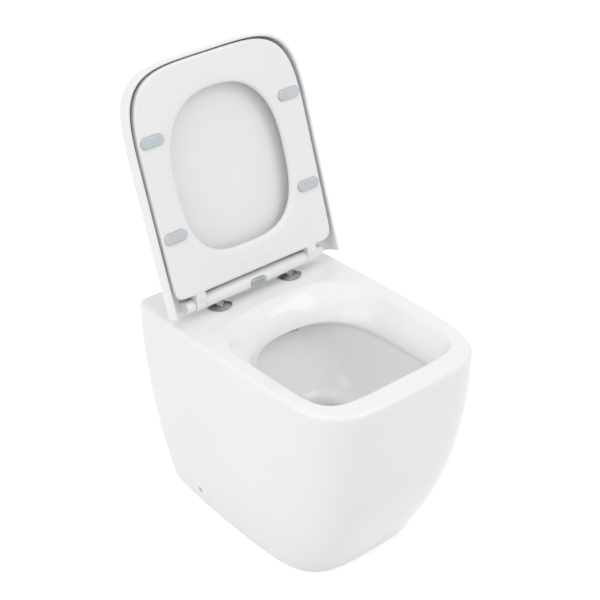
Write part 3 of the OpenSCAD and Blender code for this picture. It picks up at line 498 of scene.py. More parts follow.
def pan_rings():
    """Rings over the whole skin, from the sump up the bowl, over the deck, down and back inside."""
    rings = basin_rings(0)[::-1]
    rings += [lip(LIP_TURN_OUT, REAR_UNDERCUT * LIP_TURN_REAR, UNDER_LIP_Z + LIP_TURN_UP)]
    rings += [entry_ring(*p) for p in ENTRY[::-1]]
    creases = [len(rings) - 1]
    edge = skirt_out(PAN_H, RIM_ROUND)
    rings += [at_height(mix(entry_ring(*ENTRY[0]), edge, t), PAN_H) for t in DECK_SHARES]
    creases += [len(rings)]
    for i in range(RIM_RINGS, 0, -1):
        a = math.radians(90 * i / RIM_RINGS)
        rings.append(skirt_out(PAN_H - RIM_ROUND * (1 - math.sin(a)), RIM_ROUND * (1 - math.cos(a))))
    creases += [len(rings)]
    rings += [skirt_out((PAN_H - RIM_ROUND) * i / SKIRT_RINGS, 0) for i in range(SKIRT_RINGS, 0, -1)]
    rings += [skirt_out(FOOT_ROUND, 0), skirt_out(FOOT_EASE, FOOT_EASE), skirt_out(0, FOOT_ROUND)]
    creases += [len(rings) - 1, len(rings)]
    rings += [skirt_in(DECK_UNDER * i / INSIDE_RINGS) for i in range(INSIDE_RINGS + 1)]
    creases += [len(rings) - 1]
    rings += [entry_under_ring(*p) for p in ENTRY_UNDER]
    creases += [len(rings) - len(ENTRY_UNDER)]
    return rings + basin_rings(CERAMIC_T), creases


def double_bend(a, b, steps):
    """Path from a to b in the YZ plane with two equal bends, level at both ends."""
    a, b = np.array(a, dtype=float), np.array(b, dtype=float)
    length, height = b - a
    r = (length ** 2 + height ** 2) / (4 * height)
    f = 2 * math.atan(height / length) / steps
    curve = [r * np.array([math.sin(f * i), 1 - math.cos(f * i)]) for i in range(steps + 1)]
    return [a + c for c in curve] + [b - c for c in curve[-2::-1]]


TRAP_MOUTH_Z = SUMP_FLOOR + TRAP_LOW_R + TRAP_LIFT
TRAP_WEIR_Z = OUTLET_Z + TRAP_WEIR_UP
TRAP_EXIT = (-OUTLET_BACK - OUTLET_LEN, OUTLET_Z)
TRAP_STEPS, TRAP_SIDES = 14, 64
# Chamfers at the roots of the pipes: in from the outlet's and the inlet's outside, and along both
OUTLET_ROOT, INLET_ROOT, PIPE_ROOT = 4, 3, 3
# Rounding of a pipe's open end, the inset and set-back halfway round it, and the ease of a bore's mouth
PIPE_ROUND, PIPE_EASE, BORE_EASE = 2.5, (0.8, 0.7), 2
# How far the outlet's and the inlet's cutters run past their mouths
OUTLET_PAST, INLET_PAST = 12, 10
# How far the cutters run out of a side hole, and behind the plane of the wall
SIDE_PAST, WALL_CUT = 20, 20
FLARE_STEPS = 6


def quarter_bend(y, z, start, end):
    turn = np.radians(np.linspace(start, end, TRAP_STEPS + 1))
    return [np.array([y + TRAP_BEND * math.cos(a), z + TRAP_BEND * math.sin(a)]) for a in turn]


def trap_tube(name, wall):
    """The trapway: level out of the sump, up a leg to the weir, then down to the outlet."""
    path = [np.array([SUMP_MID, TRAP_MOUTH_Z])]
    path += quarter_bend(-TRAP_LEG - TRAP_BEND, TRAP_MOUTH_Z + TRAP_BEND, -90, 0)
    path += quarter_bend(-TRAP_LEG + TRAP_BEND, TRAP_WEIR_Z - TRAP_BEND, 180, 90)
    path += double_bend(path[-1], TRAP_EXIT, TRAP_STEPS)[1:]
    path.append(path[-1] + np.array([CERAMIC_T, 0]))
    turn = 2 * np.pi * np.arange(TRAP_SIDES) / TRAP_SIDES
    rings = []
    for i, p in enumerate(path):
        r = mix(TRAP_LOW_R, TRAP_R - TRAP_SHY, i / (len(path) - 1)) + wall
        d = path[min(i + 1, len(path) - 1)] - path[max(i - 1, 0)]
        d = d / np.linalg.norm(d)
        rings.append(np.stack([
            r * np.cos(turn), p[0] - d[1] * r * np.sin(turn), p[1] + d[0] * r * np.sin(turn)], axis=1))
    return skin(name, rings, poles=[(0, *path[0]), (0, *path[-1])])


def bowl_core():
    """What the bowl and the sump hold, out to the middle of their wall."""
    half = CERAMIC_T / 2
    poles = [(0, LIP_MID, UNDER_LIP_Z), (0, SUMP_MID, SUMP_FLOOR - half)]
    return skin("tool", smooth(basin_rings(half)), poles=poles)


def along_wall(y, z):
    """Turns +Z toward the wall, at a height and a distance from it."""
    return shift(0, y, z) @ Matrix.Rotation(math.radians(-90), 4, "X")


def pipe(name, r, low, high, root, place):
    """A pipe's outside, chamfered at its root and rounded at its open end."""
    return lathe(name, [
        (0, low), (r - root, low), (r, low + PIPE_ROOT), (r, high - PIPE_ROUND),
        (r - PIPE_EASE[0], high - PIPE_EASE[1]), (r - PIPE_ROUND, high), (0, high)], place=place)


def pipe_bore(r, low, high, past, place):
    """Cutter for a pipe's inside, with an eased mouth."""
    return lathe("tool", [
        (0, low), (r, low), (r, high - BORE_EASE), (r + BORE_EASE, high), (r + BORE_EASE, high + past),
        (0, high + past)], place=place)


def flare(r, low, high, mouth_h, mouth_r):
    """Profile of a round cutter whose far end widens in a quarter round."""
    steps = [(r + mouth_r * (1 - math.cos(a)), high - mouth_h + mouth_h * math.sin(a))
             for a in np.radians(np.linspace(0, 90, FLARE_STEPS + 1))]
    end = high + SIDE_PAST
    return [(0, low), (r, low)] + steps + [(r + mouth_r, end), (0, end)]


def make_pan():
    rings, creases = pan_rings()
    pan = skin("pan_casting", smooth(rings, creases=creases),
               poles=[(0, SUMP_MID, SUMP_FLOOR), (0, SUMP_MID, SUMP_FLOOR - CERAMIC_T)])
    add_pipes(pan)
    bosses = add_bosses(pan)
    cut_pipes(pan)
    cut_fixing_holes(pan, bosses)
    cut_rear(pan)
    return soften(pan)


def add_pipes(pan):
    """Trap, outlet spigot, flush inlet and the chamber between the inlet and the bowl."""
    trap = cut(trap_tube("trap", TRAP_WALL), bowl_core())
    spigot = pipe("spigot", OUTLET_R, 0, OUTLET_LEN, OUTLET_ROOT, along_wall(*TRAP_EXIT))
    inlet = pipe("inlet", INLET_R + INLET_T, -INLET_DEPTH - INLET_T, 0, INLET_ROOT,
                 along_wall(-INLET_BACK, INLET_Z))
    chamber = block(
        "chamber",
        (-SLOT_W / 2 - INLET_T, -LIP_REAR + REAR_UNDERCUT + CHAMBER_SET, SLOT_Z - SLOT_H / 2 - INLET_T),
        (SLOT_W / 2 + INLET_T, -CHAMBER_BACK, SLOT_Z + SLOT_H / 2 + INLET_T), bevel=CHAMBER_ROUND)
    join(pan, trap, spigot, inlet, chamber)


def add_bosses(pan):
    """Thickened bosses behind the side holes; gives the distance at which they start."""
    end = side_half(SIDE_HOLE_BACK, SIDE_HOLE_Z) - CERAMIC_T / 2
    start = end - SIDE_BOSS_LEN + CERAMIC_T / 2
    r, ease = SIDE_HOLE_R + SIDE_BOSS_WALL, SIDE_BOSS_EASE
    for side in (-1, 1):
        place = shift(0, -SIDE_HOLE_BACK, SIDE_HOLE_Z) @ outward(side, start)
        join(pan, lathe("boss", [(0, 0), (r - ease, 0), (r, ease), (r, end - start), (0, end - start)],
                        place=place))
    return start


def cut_pipes(pan):
    """Water ways: trap, outlet, inlet and flush slot."""
    slot_len = LIP_REAR + SLOT_PAST - CHAMBER_BACK - INLET_T
    cut(pan, trap_tube("tool", 0),
        pipe_bore(TRAP_R, 0, OUTLET_LEN, OUTLET_PAST, along_wall(*TRAP_EXIT)),
        pipe_bore(INLET_R, -INLET_DEPTH, 0, INLET_PAST, along_wall(-INLET_BACK, INLET_Z)),
        prism("tool", pill_plan(SLOT_W, SLOT_H), 0, slot_len,
              place=along_wall(-LIP_REAR - SLOT_PAST, SLOT_Z)))


def cut_fixing_holes(pan, boss_start):
    """Holes for the seat's posts in the deck, and for the screws low in the sides."""
    out = side_half(SIDE_HOLE_BACK, SIDE_HOLE_Z) + SIDE_FLARE_OUT
    side_tool = flare(SIDE_HOLE_R, boss_start - PAST, out, SIDE_FLARE_H, SIDE_FLARE_R)
    for side in (-1, 1):
        cut(pan,
            lathe("tool", bore(HINGE_HOLE_R, DECK_UNDER - PAST, PAN_H + PAST),
                  place=shift(side * HINGE_X, HINGE_Y, 0)),
            lathe("tool", side_tool, place=shift(0, -SIDE_HOLE_BACK, SIDE_HOLE_Z) @ outward(side, 0)))


def cut_rear(pan):
    """The opening that gives room for the pipes, and the flat face against the wall."""
    right = [(rear_half(max(z, 0)) - REAR_EDGE, z) for z in REAR_LEVELS]
    plan = right + [(-x, z) for x, z in right[::-1]]
    cut(pan, prism("tool", plan, -PAST, CERAMIC_T + PAST, place=UPRIGHT))
    cut(pan, block("tool", (-PAN_W, 0, -PAST), (PAN_W, WALL_CUT, PAN_H + PAST)))


# ---- seat ----

SEAT_MID = -(HOLE_FRONT + HOLE_REAR) / 2
# Section of the ring on the side of its opening: distance from the opening, height over the underside
HOLE_SECTION = [(27, 0), (16, 0.9), (6, 2.4), (2, 4.2), (0, 8), (0.6, SEAT_T * 0.62),
                (3.4, SEAT_T - 3.2), (9, SEAT_T - 0.9), (17, SEAT_T)]
# Section of the ring on its outer side: inset from the edge, height over the underside
EDGE_SECTION = [(16, SEAT_T), (7.5, SEAT_T - 1.2), (2.6, SEAT_T - 4), (0.4, SEAT_T - 8.2), (0, 6),
                (0.2, 2.6), (1.1, 0.8), (3, 0)]
# Where two more rings lie on the underside, as shares of the way from the edge to the opening
UNDER_SHARES = (0.2, 0.8)
# Arms between the knuckles and the ring: lap over the ring, dip under its top, and the top's bend
ARM_LAP, ARM_DIP, ARM_BEND = 14, 1.2, 0.9
# Where an arm's curved top starts in front of the hinge line, and the points along it
ARM_START, ARM_POINTS = 4, 9
# Underside of the arms, in heights over the seat's underside: at their far ends, and then by the
# distance in front of the hinge line
ARM_TIP, ARM_UNDER = 0.4, [(12, 0.5), (7, 0.9)]
# Last bend of that underside: in front of the hinge line, and below the knuckle
ARM_HEEL = (3, 0.9)
# Section of a bumper's crown: inset from its edge, height from its face
BUMPER_CROWN = [(0, 2.2), (0.25, 1.3), (0.9, 0.55), (1.9, 0.15), (3.5, 0.02), (6, 0)]


def seat_edge(inset, z):
    half = SEAT_W / 2 - inset
    return outline(
        half, half, -SEAT_REACH + inset, -SEAT_REAR - inset, SEAT_MID, SEAT_SQUARE, SEAT_REAR_SQUARE, z)


def seat_hole(grow, z):
    half = HOLE_W / 2 + grow
    return outline(
        half, half, -HOLE_FRONT - grow, -HOLE_REAR + grow, SEAT_MID, HOLE_SQUARE, HOLE_REAR_SQUARE, z)


def seat_rings():
    """Rings round the section of the seat, from its underside up the opening and down the edge."""
    hole = [seat_hole(grow, SEAT_UNDER + up) for grow, up in HOLE_SECTION]
    edge = [seat_edge(inset, SEAT_UNDER + up) for inset, up in EDGE_SECTION]
    under = [mix(edge[-1], hole[0], t) for t in UNDER_SHARES]
    return [edge[-1]] + under + hole + edge[:-1]


def seat_arm():
    """Section of an arm: a top that falls from the knuckle to the ring, and an eased underside."""
    reach, r = SEAT_REAR + ARM_LAP, SEAT_KNUCKLE_R
    fall = SEAT_TOP - ARM_DIP - r
    top = [(-x, r + fall * (x / reach) ** ARM_BEND) for x in np.linspace(ARM_START, reach, ARM_POINTS)]
    under = [(-x, SEAT_UNDER + up) for x, up in [(reach, ARM_TIP)] + ARM_UNDER]
    return [(0, r)] + top + under + [(-ARM_HEEL[0], -r - ARM_HEEL[1]), (0, -r)]


def make_seat():
    seat = skin("seat_ring_shell", smooth(seat_rings(), closed=True), closed=True)
    arm = seat_arm()
    for side in (-1, 1):
        start = SEAT_KNUCKLE_IN if side > 0 else -SEAT_KNUCKLE_IN - SEAT_KNUCKLE_W
        join(seat,
             rod("knuckle", SEAT_KNUCKLE_R, SEAT_KNUCKLE_W, SEAT_KNUCKLE_EASE,
                 outward(side, SEAT_KNUCKLE_IN)),
             prism("arm", arm, start, start + SEAT_KNUCKLE_W, place=ACROSS))
    for side, r in ((-1, SHAFT_R), (1, BUSH_R)):
        cut(seat, lathe("tool", bore(r + FIT_GAP, -PAST, 2 * SEAT_KNUCKLE_W + 2 * PAST),
                        place=outward(side, SEAT_KNUCKLE_IN - PAST)))
    pocket = pill_plan(BUMPER_LEN + 2 * POCKET_GAP, BUMPER_W + 2 * POCKET_GAP)
    for side in (-1, 1):
        for reach in BUMPER_REACHES.values():
            cut(seat, prism("tool", pocket, -PAST, BUMPER_SEAT + FIT_GAP,
                            place=shift(side * BUMPER_X, -reach, SEAT_UNDER)))
    move(seat, RAISED)
    return soften(seat)


def make_bumper(name, side, reach):
    """A soft pill with a crowned face and rounded edges, in its pocket."""
    rings = [(0, BUMPER_SEAT), (0, -BUMPER_MIDWAY)]
    rings += [(inset, up - BUMPER_H) for inset, up in BUMPER_CROWN]
    loops = [
        np.array([(x, y, z) for x, y in pill_plan(BUMPER_LEN - 2 * inset, BUMPER_W - 2 * inset)])
        for inset, z in rings]
    obj = skin(name, loops, poles=[(0, 0, BUMPER_SEAT), (0, 0, -BUMPER_H)])
    move(obj, RAISED @ shift(side * BUMPER_X, -reach, SEAT_UNDER))
    return soften(obj, angle=40)


# ---- lid ----

# Where the lid's outline is widest, and how far it runs past the hinge line before it is cut off
LID_MID, LID_OVER = -223, 40
# Inset of the innermost ring on the lid's flat, and how far inside the rounding the next one lies
LID_FLAT, LID_SHOULDER = 60, 12
LID_ROUND_STEPS, LID_REAR_STEPS = 8, 24
# How far the rear's cutter runs past the outline, and how far the webs stay inside the knuckles'
# round and inside the lid's rear
LID_REAR_PAST, WEB_SET, WEB_REAR = 5, 1.5, 1
# Section of the brim: inset from the lid's outside, height over the brim
BRIM_SECTION = [(0, 8), (0, 1.8), (0.5, 0.5), (1.6, 0), (LID_T - 1.5, 0), (LID_T - 0.4, 0.5), (LID_T, 1.8),
                (LID_T, 8)]
# Which of the brim's rings, counted from its end, are creases
BRIM_CREASES = (7, 5, 4, 2)


def lid_edge(inset, z):
    half = LID_W / 2 - inset
    return outline(half, half, -LID_REACH + inset, LID_OVER - inset, LID_MID, SEAT_SQUARE, WALL_SQUARE, z)


def lid_rings():
    """Rings from the middle of the lid's top, round its brim, to the middle of its inside."""
    rings = [lid_edge(LID_FLAT, LID_TOP), lid_edge(LID_ROUND + LID_SHOULDER, LID_TOP)]
    creases = [len(rings)]
    turn = np.radians(np.linspace(0, 90, LID_ROUND_STEPS + 1))
    for a in turn:
        rings.append(lid_edge(LID_ROUND * (1 - math.sin(a)), LID_TOP - LID_ROUND * (1 - math.cos(a))))
    creases += [len(rings) - 1]
    rings += [lid_edge(inset, LID_BRIM + up) for inset, up in BRIM_SECTION]
    creases += [len(rings) - n for n in BRIM_CREASES] + [len(rings)]
    r = LID_ROUND - LID_T
    for a in turn[::-1]:
        rings.append(lid_edge(LID_T + r * (1 - math.sin(a)), LID_INSIDE - r * (1 - math.cos(a))))
    creases += [len(rings) - 1]
    return rings + [lid_edge(LID_ROUND + LID_SHOULDER, LID_INSIDE), lid_edge(LID_FLAT, LID_INSIDE)], creases


def lid_rear_tool():
    """Cutter that rounds the lid's rear over the hinge line."""
    arc = [(LID_TOP * math.sin(a), LID_TOP * math.cos(a))
           for a in np.radians(np.linspace(0, 90, LID_REAR_STEPS + 1))]
    end = LID_OVER + LID_REAR_PAST
    plan = [(0, LID_TOP)] + arc[1:] + [(end, 0), (end, LID_OVER), (0, LID_OVER)]
    return prism("tool", plan, -LID_W, LID_W, place=ACROSS)


def make_lid():
    rings, creases = lid_rings()
    lid = skin("lid_shell", smooth(rings, creases=creases, cuts=3),
               poles=[(0, LID_MID, LID_TOP), (0, LID_MID, LID_INSIDE)])
    cut(lid, lid_rear_tool(), block("tool", (-LID_W, LID_REAR, -PAN_W), (LID_W, PAN_W, PAN_W)))
    depth = LID_KNUCKLE_R - WEB_SET
    for side in (-1, 1):
        start = LID_KNUCKLE_IN if side > 0 else -LID_KNUCKLE_IN - LID_KNUCKLE_W
        join(lid,
             rod("knuckle", LID_KNUCKLE_R, LID_KNUCKLE_W, LID_KNUCKLE_EASE, outward(side, LID_KNUCKLE_IN)),
             block("web", (start, -depth, 0),
                   (start + LID_KNUCKLE_W, LID_REAR - WEB_REAR, LID_INSIDE + LID_T / 2)))
    for side, r in ((-1, BUSH_R), (1, SHAFT_R)):
        cut(lid, lathe("tool", bore(r + FIT_GAP, -PAST, LID_KNUCKLE_W - KNUCKLE_END),
                       place=outward(side, LID_KNUCKLE_IN)))
    move(lid, RAISED)
    return soften(lid)


def make_buffer(name, side):
    """A soft round pad with a rounded face, on a peg in the lid."""
    top, r, ease, peg_top = SEAT_TOP + REST_GAP, BUFFER_R, BUFFER_EASE, LID_INSIDE + PEG_LEN
    obj = lathe(name, [
        (0, top), (r - BUFFER_ROUND, top), (r - ease, top + ease), (r, top + BUFFER_ROUND),
        (r, LID_INSIDE), (PEG_R, LID_INSIDE), (PEG_R, peg_top), (0, peg_top)], sides=64)
    move(obj, RAISED @ shift(side * BUFFER_X, -BUFFER_REACH, 0))
    return soften(obj, angle=40)


# ---- hinge bar, button and flanges ----

# Rooms inside the bar, as opposite corners: for the key, for the latches, and the hollow underneath
KEY_ROOM = ((-14.8, -7.2, -5.9), (14.8, 6.8, 5.9))
LATCH_ROOM = ((-84.8, -7.3, -1.9), (84.8, 7.3, 1.9))
UNDER_ROOM = ((-64, -5, -BAR_R - PAST), (64, 6.5, 0))
# Bores for the dampers, with the length of their cutter, and for the posts and their collars
DAMPER_ROOM_R, DAMPER_ROOM_LEN, DAMPER_CUT = 7.9, 23.5, 30
POST_ROOM_TOP = 7.6
COLLAR_ROOM_R, COLLAR_ROOM_H = 9.5, 1.5
# Rounding of the bar's ends, and the inset halfway round it
BAR_ROUND, BAR_EASE = 0.8, 0.25
# The key's room: how much wider it is than the key, and how far it runs behind the hinge line
KEY_GAP, KEY_ROOM_BACK = 0.7, 0.4
# The key: place of its back, and depth of the dish in its face
KEY_BACK, KEY_DISH = -10.2, 0.85
# The key's section: inset from its edge, depth under its round face
KEY_SECTION = [(0, 0.9), (0.25, 0.35), (0.8, 0.05), (1.6, 0), (3, 0.25), (4.5, 0.6), (6, 0.8)]
# The flange's dome: its bend, the steps along it, and the ease of the bore at its top
FLANGE_BEND, FLANGE_STEPS, FLANGE_BORE_EASE = 1.3, 16, (0.4, 0.2)
# Chamfer of the flange's lower edge
FLANGE_UNDER_EASE = 0.25


def make_bar():
    end, ease, corner = BAR_LEN / 2, BAR_ROUND, BAR_EASE
    bar = lathe("hinge_bar_shell", [
        (0, -end), (BAR_R - ease, -end), (BAR_R - corner, -end + corner), (BAR_R, -end + ease), (BAR_R, 0),
        (BAR_R, end - ease), (BAR_R - corner, end - corner), (BAR_R - ease, end), (0, end)],
        sides=128, place=outward(1, 0))
    cut(bar,
        prism("tool", pill_plan(BUTTON_LEN + KEY_GAP, BUTTON_H + KEY_GAP), -KEY_ROOM_BACK, BAR_R + PAST,
              place=UPRIGHT),
        *(block("tool", *room) for room in (KEY_ROOM, LATCH_ROOM, UNDER_ROOM)))
    for side in (-1, 1):
        at_post = shift(side * HINGE_X, 0, 0)
        cut(bar,
            lathe("tool", bore(DAMPER_ROOM_R, 0, DAMPER_CUT), place=outward(side, end - DAMPER_ROOM_LEN)),
            lathe("tool", bore(POST_R + FIT_GAP, -BAR_R - PAST, POST_ROOM_TOP), place=at_post),
            lathe("tool", bore(COLLAR_ROOM_R, -BAR_R - PAST, -BAR_R + COLLAR_ROOM_H), place=at_post))
    move(bar, AT_HINGE)
    return soften(bar)


def make_button():
    """The oval key: its face follows the bar, with a shallow finger dish and a rounded edge."""
    r = BAR_R + BUTTON_PROUD

    def loop(inset, depth):
        plan = pill_plan(BUTTON_LEN - 2 * inset, BUTTON_H - 2 * inset)
        return np.array([(x, depth(z), z) for x, z in plan])

    loops = [loop(0, lambda z: KEY_BACK)]
    loops += [loop(inset, lambda z: -math.sqrt(r ** 2 - z ** 2) + sink) for inset, sink in KEY_SECTION]
    obj = skin("button_cap", loops, poles=[(0, KEY_BACK, 0), (0, -r + KEY_DISH, 0)])
    move(obj, AT_HINGE)
    return soften(obj, angle=45)


def make_flange(name, side):
    """A domed chrome cover round a post, with eased edges."""
    under = PAN_H + GASKET_T
    low, top, edge = under + FLANGE_EDGE, PAN_H + FLANGE_TOP, FLANGE_UNDER_EASE
    out, down = FLANGE_BORE_EASE
    crown = [(mix(CROWN_R, FLANGE_R, t), mix(top, low, t ** FLANGE_BEND))
             for t in np.linspace(0, 1, FLANGE_STEPS + 1)]
    profile = [(POST_R + FIT_GAP, under), (POST_R + FIT_GAP, top - down), (POST_R + out, top)] + crown
    profile += [(FLANGE_R, under + edge), (FLANGE_R - edge, under)]
    obj = lathe(name, profile, sides=128, place=shift(side * HINGE_X, HINGE_Y, 0))
    return soften(obj, angle=50)


# ---- materials ----

# Stretch of a noise's values over which a colour or a gloss changes
NOISE_LOW, NOISE_HIGH = 0.3, 0.7
# Soft waves in a surface, per metre
WAVES = 14


def new_material(name):
    mat = bpy.data.materials.new(name)
    mat.use_nodes = True
    nodes = mat.node_tree.nodes
    return mat, nodes, mat.node_tree.links, nodes["Principled BSDF"]


def noise(nodes, links, scale, detail=3.0):
    """Noise in the object's own space, in features per metre."""
    coord = nodes.new("ShaderNodeTexCoord")
    tex = nodes.new("ShaderNodeTexNoise")
    tex.inputs["Scale"].default_value = scale
    tex.inputs["Detail"].default_value = detail
    links.new(coord.outputs["Object"], tex.inputs["Vector"])
    return tex.outputs["Fac"]


def ramp(nodes, links, factor, low, high):
    """Colours between low and high, by a noise."""
    node = nodes.new("ShaderNodeValToRGB")
    node.color_ramp.elements[0].position = NOISE_LOW
    node.color_ramp.elements[0].color = (*low, 1)
    node.color_ramp.elements[1].position = NOISE_HIGH
    node.color_ramp.elements[1].color = (*high, 1)
    links.new(factor, node.inputs["Fac"])
    return node.outputs["Color"]


def spread(nodes, links, factor, low, high):
    """Values between low and high, by a noise."""
    node = nodes.new("ShaderNodeMapRange")
    node.inputs["From Min"].default_value = NOISE_LOW
    node.inputs["From Max"].default_value = NOISE_HIGH
    node.inputs["To Min"].default_value = low
    node.inputs["To Max"].default_value = high
    links.new(factor, node.inputs["Value"])
    return node.outputs["Result"]


def bumps(nodes, links, shader, layers):
    """Bumps stacked from (height source, depth in millimetres)."""
    normal = None
    for source, depth in layers:
        node = nodes.new("ShaderNodeBump")
        node.inputs["Strength"].default_value = 1.0
        node.inputs["Distance"].default_value = depth * MM
        links.new(source, node.inputs["Height"])
        if normal is not None:
            links.new(normal, node.inputs["Normal"])
        normal = node.outputs["Normal"]
    links.new(normal, shader.inputs["Normal"])


def material(name, low, high, rough, patch=6, grain=400, peel=0.02, fine=0.002, **sockets):
    """A moulded or glazed surface: slow colour drift, uneven gloss, soft waves and fine grain."""
    mat, nodes, links, shader = new_material(name)
    links.new(ramp(nodes, links, noise(nodes, links, patch), low, high), shader.inputs["Base Color"])
    links.new(spread(nodes, links, noise(nodes, links, patch * 4, 5), *rough), shader.inputs["Roughness"])
    waves, grains = noise(nodes, links, WAVES, 1), noise(nodes, links, grain, 2)
    bumps(nodes, links, shader, [(waves, peel), (grains, fine)])
    for socket, value in sockets.items():
        shader.inputs[socket.replace("_", " ")].default_value = value
    return mat


def make_materials():
    return {
        "ceramic": material("glaze", (0.855, 0.858, 0.855), (0.875, 0.878, 0.875), (0.08, 0.14),
                            peel=0.03, fine=0.0012, IOR=1.52),
        "raw": material("raw_ceramic", (0.70, 0.69, 0.66), (0.80, 0.79, 0.76), (0.55, 0.8),
                        grain=900, fine=0.03),
        "seat_plastic": material("seat_resin", (0.84, 0.84, 0.837), (0.865, 0.865, 0.862), (0.14, 0.22),
                                 peel=0.02, fine=0.0015, IOR=1.5),
        "bar_plastic": material("bar_resin", (0.835, 0.838, 0.835), (0.86, 0.863, 0.86), (0.2, 0.3)),
        "button_plastic": material("button_plate", (0.42, 0.46, 0.45), (0.52, 0.56, 0.55), (0.14, 0.24),
                                   patch=60, Metallic=0.85),
        "bumper_rubber": material("bumper_rubber", (0.50, 0.55, 0.575), (0.58, 0.63, 0.655), (0.25, 0.4),
                                  patch=40, grain=700, fine=0.006),
        "seal_rubber": material("seal_rubber", (0.02, 0.02, 0.02), (0.05, 0.05, 0.05), (0.55, 0.75),
                                patch=40, grain=900, fine=0.02),
        # Painted reflection: the chrome's colour is set darker than real chrome, standing in for dark
        # surroundings that the white surround does not give to its reflection
        "chrome": material("chrome_with_painted_dark_reflection", (0.36, 0.35, 0.33), (0.50, 0.49, 0.47), (0.08, 0.16),
                           patch=50, peel=0.01, fine=0.001, Metallic=1.0),
        "steel": material("steel_turned", (0.42, 0.43, 0.44), (0.55, 0.56, 0.57), (0.25, 0.4),
                          patch=60, grain=1500, fine=0.004, Metallic=1.0),
        "damper_plastic": material("damper_plastic", (0.035, 0.037, 0.04), (0.06, 0.062, 0.066), (0.4, 0.6),
                                   patch=40, grain=1200, fine=0.008),
        "nut_plastic": material("nut_plastic", (0.66, 0.64, 0.56), (0.74, 0.72, 0.64), (0.35, 0.55),
                                patch=40, grain=1200, fine=0.008),
    }


# ---- the object ----

MATERIALS = make_materials()


def piece(obj, body, slot, *nodes):
    """Gives a piece its material and its body, and hides the nodes that it stands for."""
    obj.data.materials.clear()
    obj.data.materials.append(MATERIALS[slot])
    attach(obj, body)
    if nodes:
        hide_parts(*nodes)
    return obj


for sub in frame["record"]["subparts"]:
    shape = frame["nodes"][sub["node"]]
    shape.data.materials.clear()
    shape.data.materials.append(MATERIALS[sub["material_slot"]])

piece(make_pan(), "pan", "ceramic", "pan")
piece(make_bar(), "pan", "bar_plastic", "hinge_bar")
piece(make_seat(), "seat", "seat_plastic", "seat_ring")
piece(make_lid(), "lid", "seat_plastic", "lid")
piece(make_button(), "button", "button_plastic")
for side, word in ((-1, "left"), (1, "right")):
    piece(make_flange(f"flange_{word}_cap", side), "pan", "chrome", f"flange_{word}")
    piece(make_buffer(f"lid_buffer_{word}_pad", side), "lid", "bumper_rubber", f"lid_buffer_{word}")
    for row, reach in BUMPER_REACHES.items():
        piece(make_bumper(f"bumper_{row}_{word}_pad", side, reach), "seat", "bumper_rubber",
              f"bumper_{row}_{word}")


# ---- floor, lights and camera ----

FLOOR_HALF = 12000
# Light that the surround gives the object, and the floor's own glow where the camera sees it
SURROUND, FLOOR_GLOW = 0.8, 0.45
# Points that the two side lamps and the top lamp aim at, in metres
SIDE_AIM, TOP_AIM = (0, -0.25, 0.35), (0, -0.2, 0.3)


def camera_only(nodes, links, seen, other):
    """Mixes the look that the camera, mirrors and glass see with the one that lights the object."""
    path = nodes.new("ShaderNodeLightPath")
    total = None
    for ray in ("Is Camera Ray", "Is Glossy Ray", "Is Transmission Ray"):
        if total is None:
            total = path.outputs[ray]
            continue
        node = nodes.new("ShaderNodeMath")
        node.operation = "MAXIMUM"
        links.new(total, node.inputs[0])
        links.new(path.outputs[ray], node.inputs[1])
        total = node.outputs[0]
    blend = nodes.new("ShaderNodeMixShader")
    links.new(total, blend.inputs["Fac"])
    links.new(other, blend.inputs[1])
    links.new(seen, blend.inputs[2])
    return blend.outputs[0]


def make_world(strength):
    world = bpy.data.worlds.new("studio")
    bpy.context.scene.world = world
    world.use_nodes = True
    nodes, links = world.node_tree.nodes, world.node_tree.links
    nodes.clear()
    seen, light = nodes.new("ShaderNodeBackground"), nodes.new("ShaderNodeBackground")
    seen.inputs["Color"].default_value = (1, 1, 1, 1)
    seen.inputs["Strength"].default_value = 1.0
    light.inputs["Color"].default_value = (1, 1, 1, 1)
    light.inputs["Strength"].default_value = strength
    out = nodes.new("ShaderNodeOutputWorld")
    links.new(camera_only(nodes, links, seen.outputs[0], light.outputs[0]), out.inputs["Surface"])


def make_floor():
    corners = [(x * FLOOR_HALF, y * FLOOR_HALF, 0) for x, y in ((-1, -1), (1, -1), (1, 1), (-1, 1))]
    floor = solid("floor", corners, [(0, 1, 2, 3)])
    mat, nodes, links, shader = new_material("floor_paper")
    shader.inputs["Base Color"].default_value = (0.8, 0.8, 0.8, 1)
    shader.inputs["Roughness"].default_value = 0.9
    shader.inputs["Specular IOR Level"].default_value = 0.0
    glow = nodes.new("ShaderNodeEmission")
    glow.inputs["Strength"].default_value = FLOOR_GLOW
    add = nodes.new("ShaderNodeAddShader")
    links.new(shader.outputs[0], add.inputs[0])
    links.new(glow.outputs[0], add.inputs[1])
    out = nodes["Material Output"]
    links.new(camera_only(nodes, links, add.outputs[0], shader.outputs[0]), out.inputs["Surface"])
    floor.data.materials.append(mat)


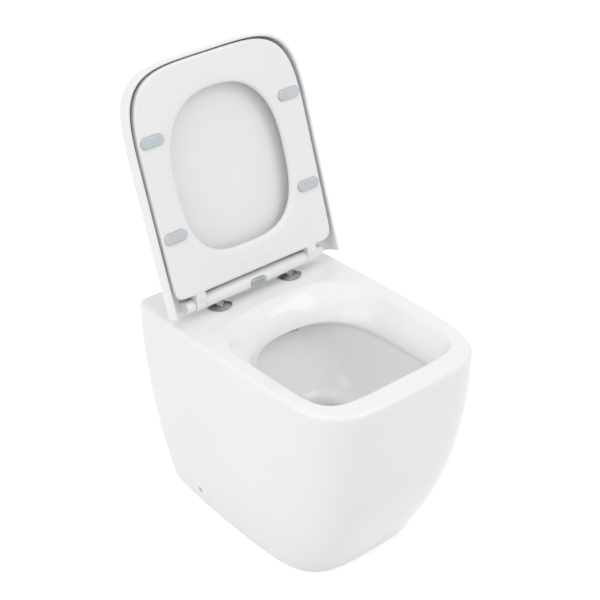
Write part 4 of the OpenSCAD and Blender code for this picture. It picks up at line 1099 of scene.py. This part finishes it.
def area_light(name, place, target, size, power):
    """A soft box at a place in metres, turned to its target, with a power in watts."""
    light = bpy.data.lights.new(name, "AREA")
    light.shape = "RECTANGLE"
    light.size, light.size_y = size
    light.energy = power
    obj = bpy.data.objects.new(name, light)
    bpy.context.scene.collection.objects.link(obj)
    obj.location = place
    obj.rotation_euler = (Vector(target) - Vector(place)).to_track_quat("-Z", "Y").to_euler()
    return obj


def make_lights():
    area_light("key", (0.96, -1.92, 2.65), SIDE_AIM, (1.5, 1.5), 13)
    area_light("left_box", (-2.36, -0.25, 1.45), SIDE_AIM, (2.0, 2.0), 13)
    area_light("top_box", (0.0, -0.4, 3.0), TOP_AIM, (2.4, 2.4), 5)


# The camera that the photograph was taken with, solved from the pan's outlines
CAMERA_AZ, CAMERA_EL, CAMERA_ROLL = -39.99, 33.88, -0.91
CAMERA_DISTANCE = 2613.1
CAMERA_TARGET = (0, -250, 300)
FOCAL_PX, CENTRE_PX = 1524.3, (310.28, 372.54)
IMAGE_PX, SENSOR_MM = 600, 36
VIEW_REACH_M = 50


def make_camera():
    data = bpy.data.cameras.new("camera")
    obj = bpy.data.objects.new("camera", data)
    bpy.context.scene.collection.objects.link(obj)
    data.sensor_fit = "HORIZONTAL"
    data.sensor_width = SENSOR_MM
    data.lens = FOCAL_PX / IMAGE_PX * SENSOR_MM
    data.shift_x = (IMAGE_PX / 2 - CENTRE_PX[0]) / IMAGE_PX
    data.shift_y = (CENTRE_PX[1] - IMAGE_PX / 2) / IMAGE_PX
    data.clip_end = VIEW_REACH_M
    az, el, roll = (math.radians(a) for a in (CAMERA_AZ, CAMERA_EL, CAMERA_ROLL))
    away = Vector((math.sin(az) * math.cos(el), -math.cos(az) * math.cos(el), math.sin(el)))
    right = Vector((0, 0, 1)).cross(away).normalized()
    up = away.cross(right)
    right2 = right * math.cos(roll) + up * math.sin(roll)
    up2 = up * math.cos(roll) - right * math.sin(roll)
    place = (Vector(CAMERA_TARGET) + away * CAMERA_DISTANCE) * MM
    obj.matrix_world = Matrix((
        (right2.x, up2.x, away.x, place.x),
        (right2.y, up2.y, away.y, place.y),
        (right2.z, up2.z, away.z, place.z),
        (0, 0, 0, 1)))
    bpy.context.scene.camera = obj


make_world(SURROUND)
make_floor()
make_lights()
make_camera()
bpy.context.scene.view_settings.view_transform = "Standard"
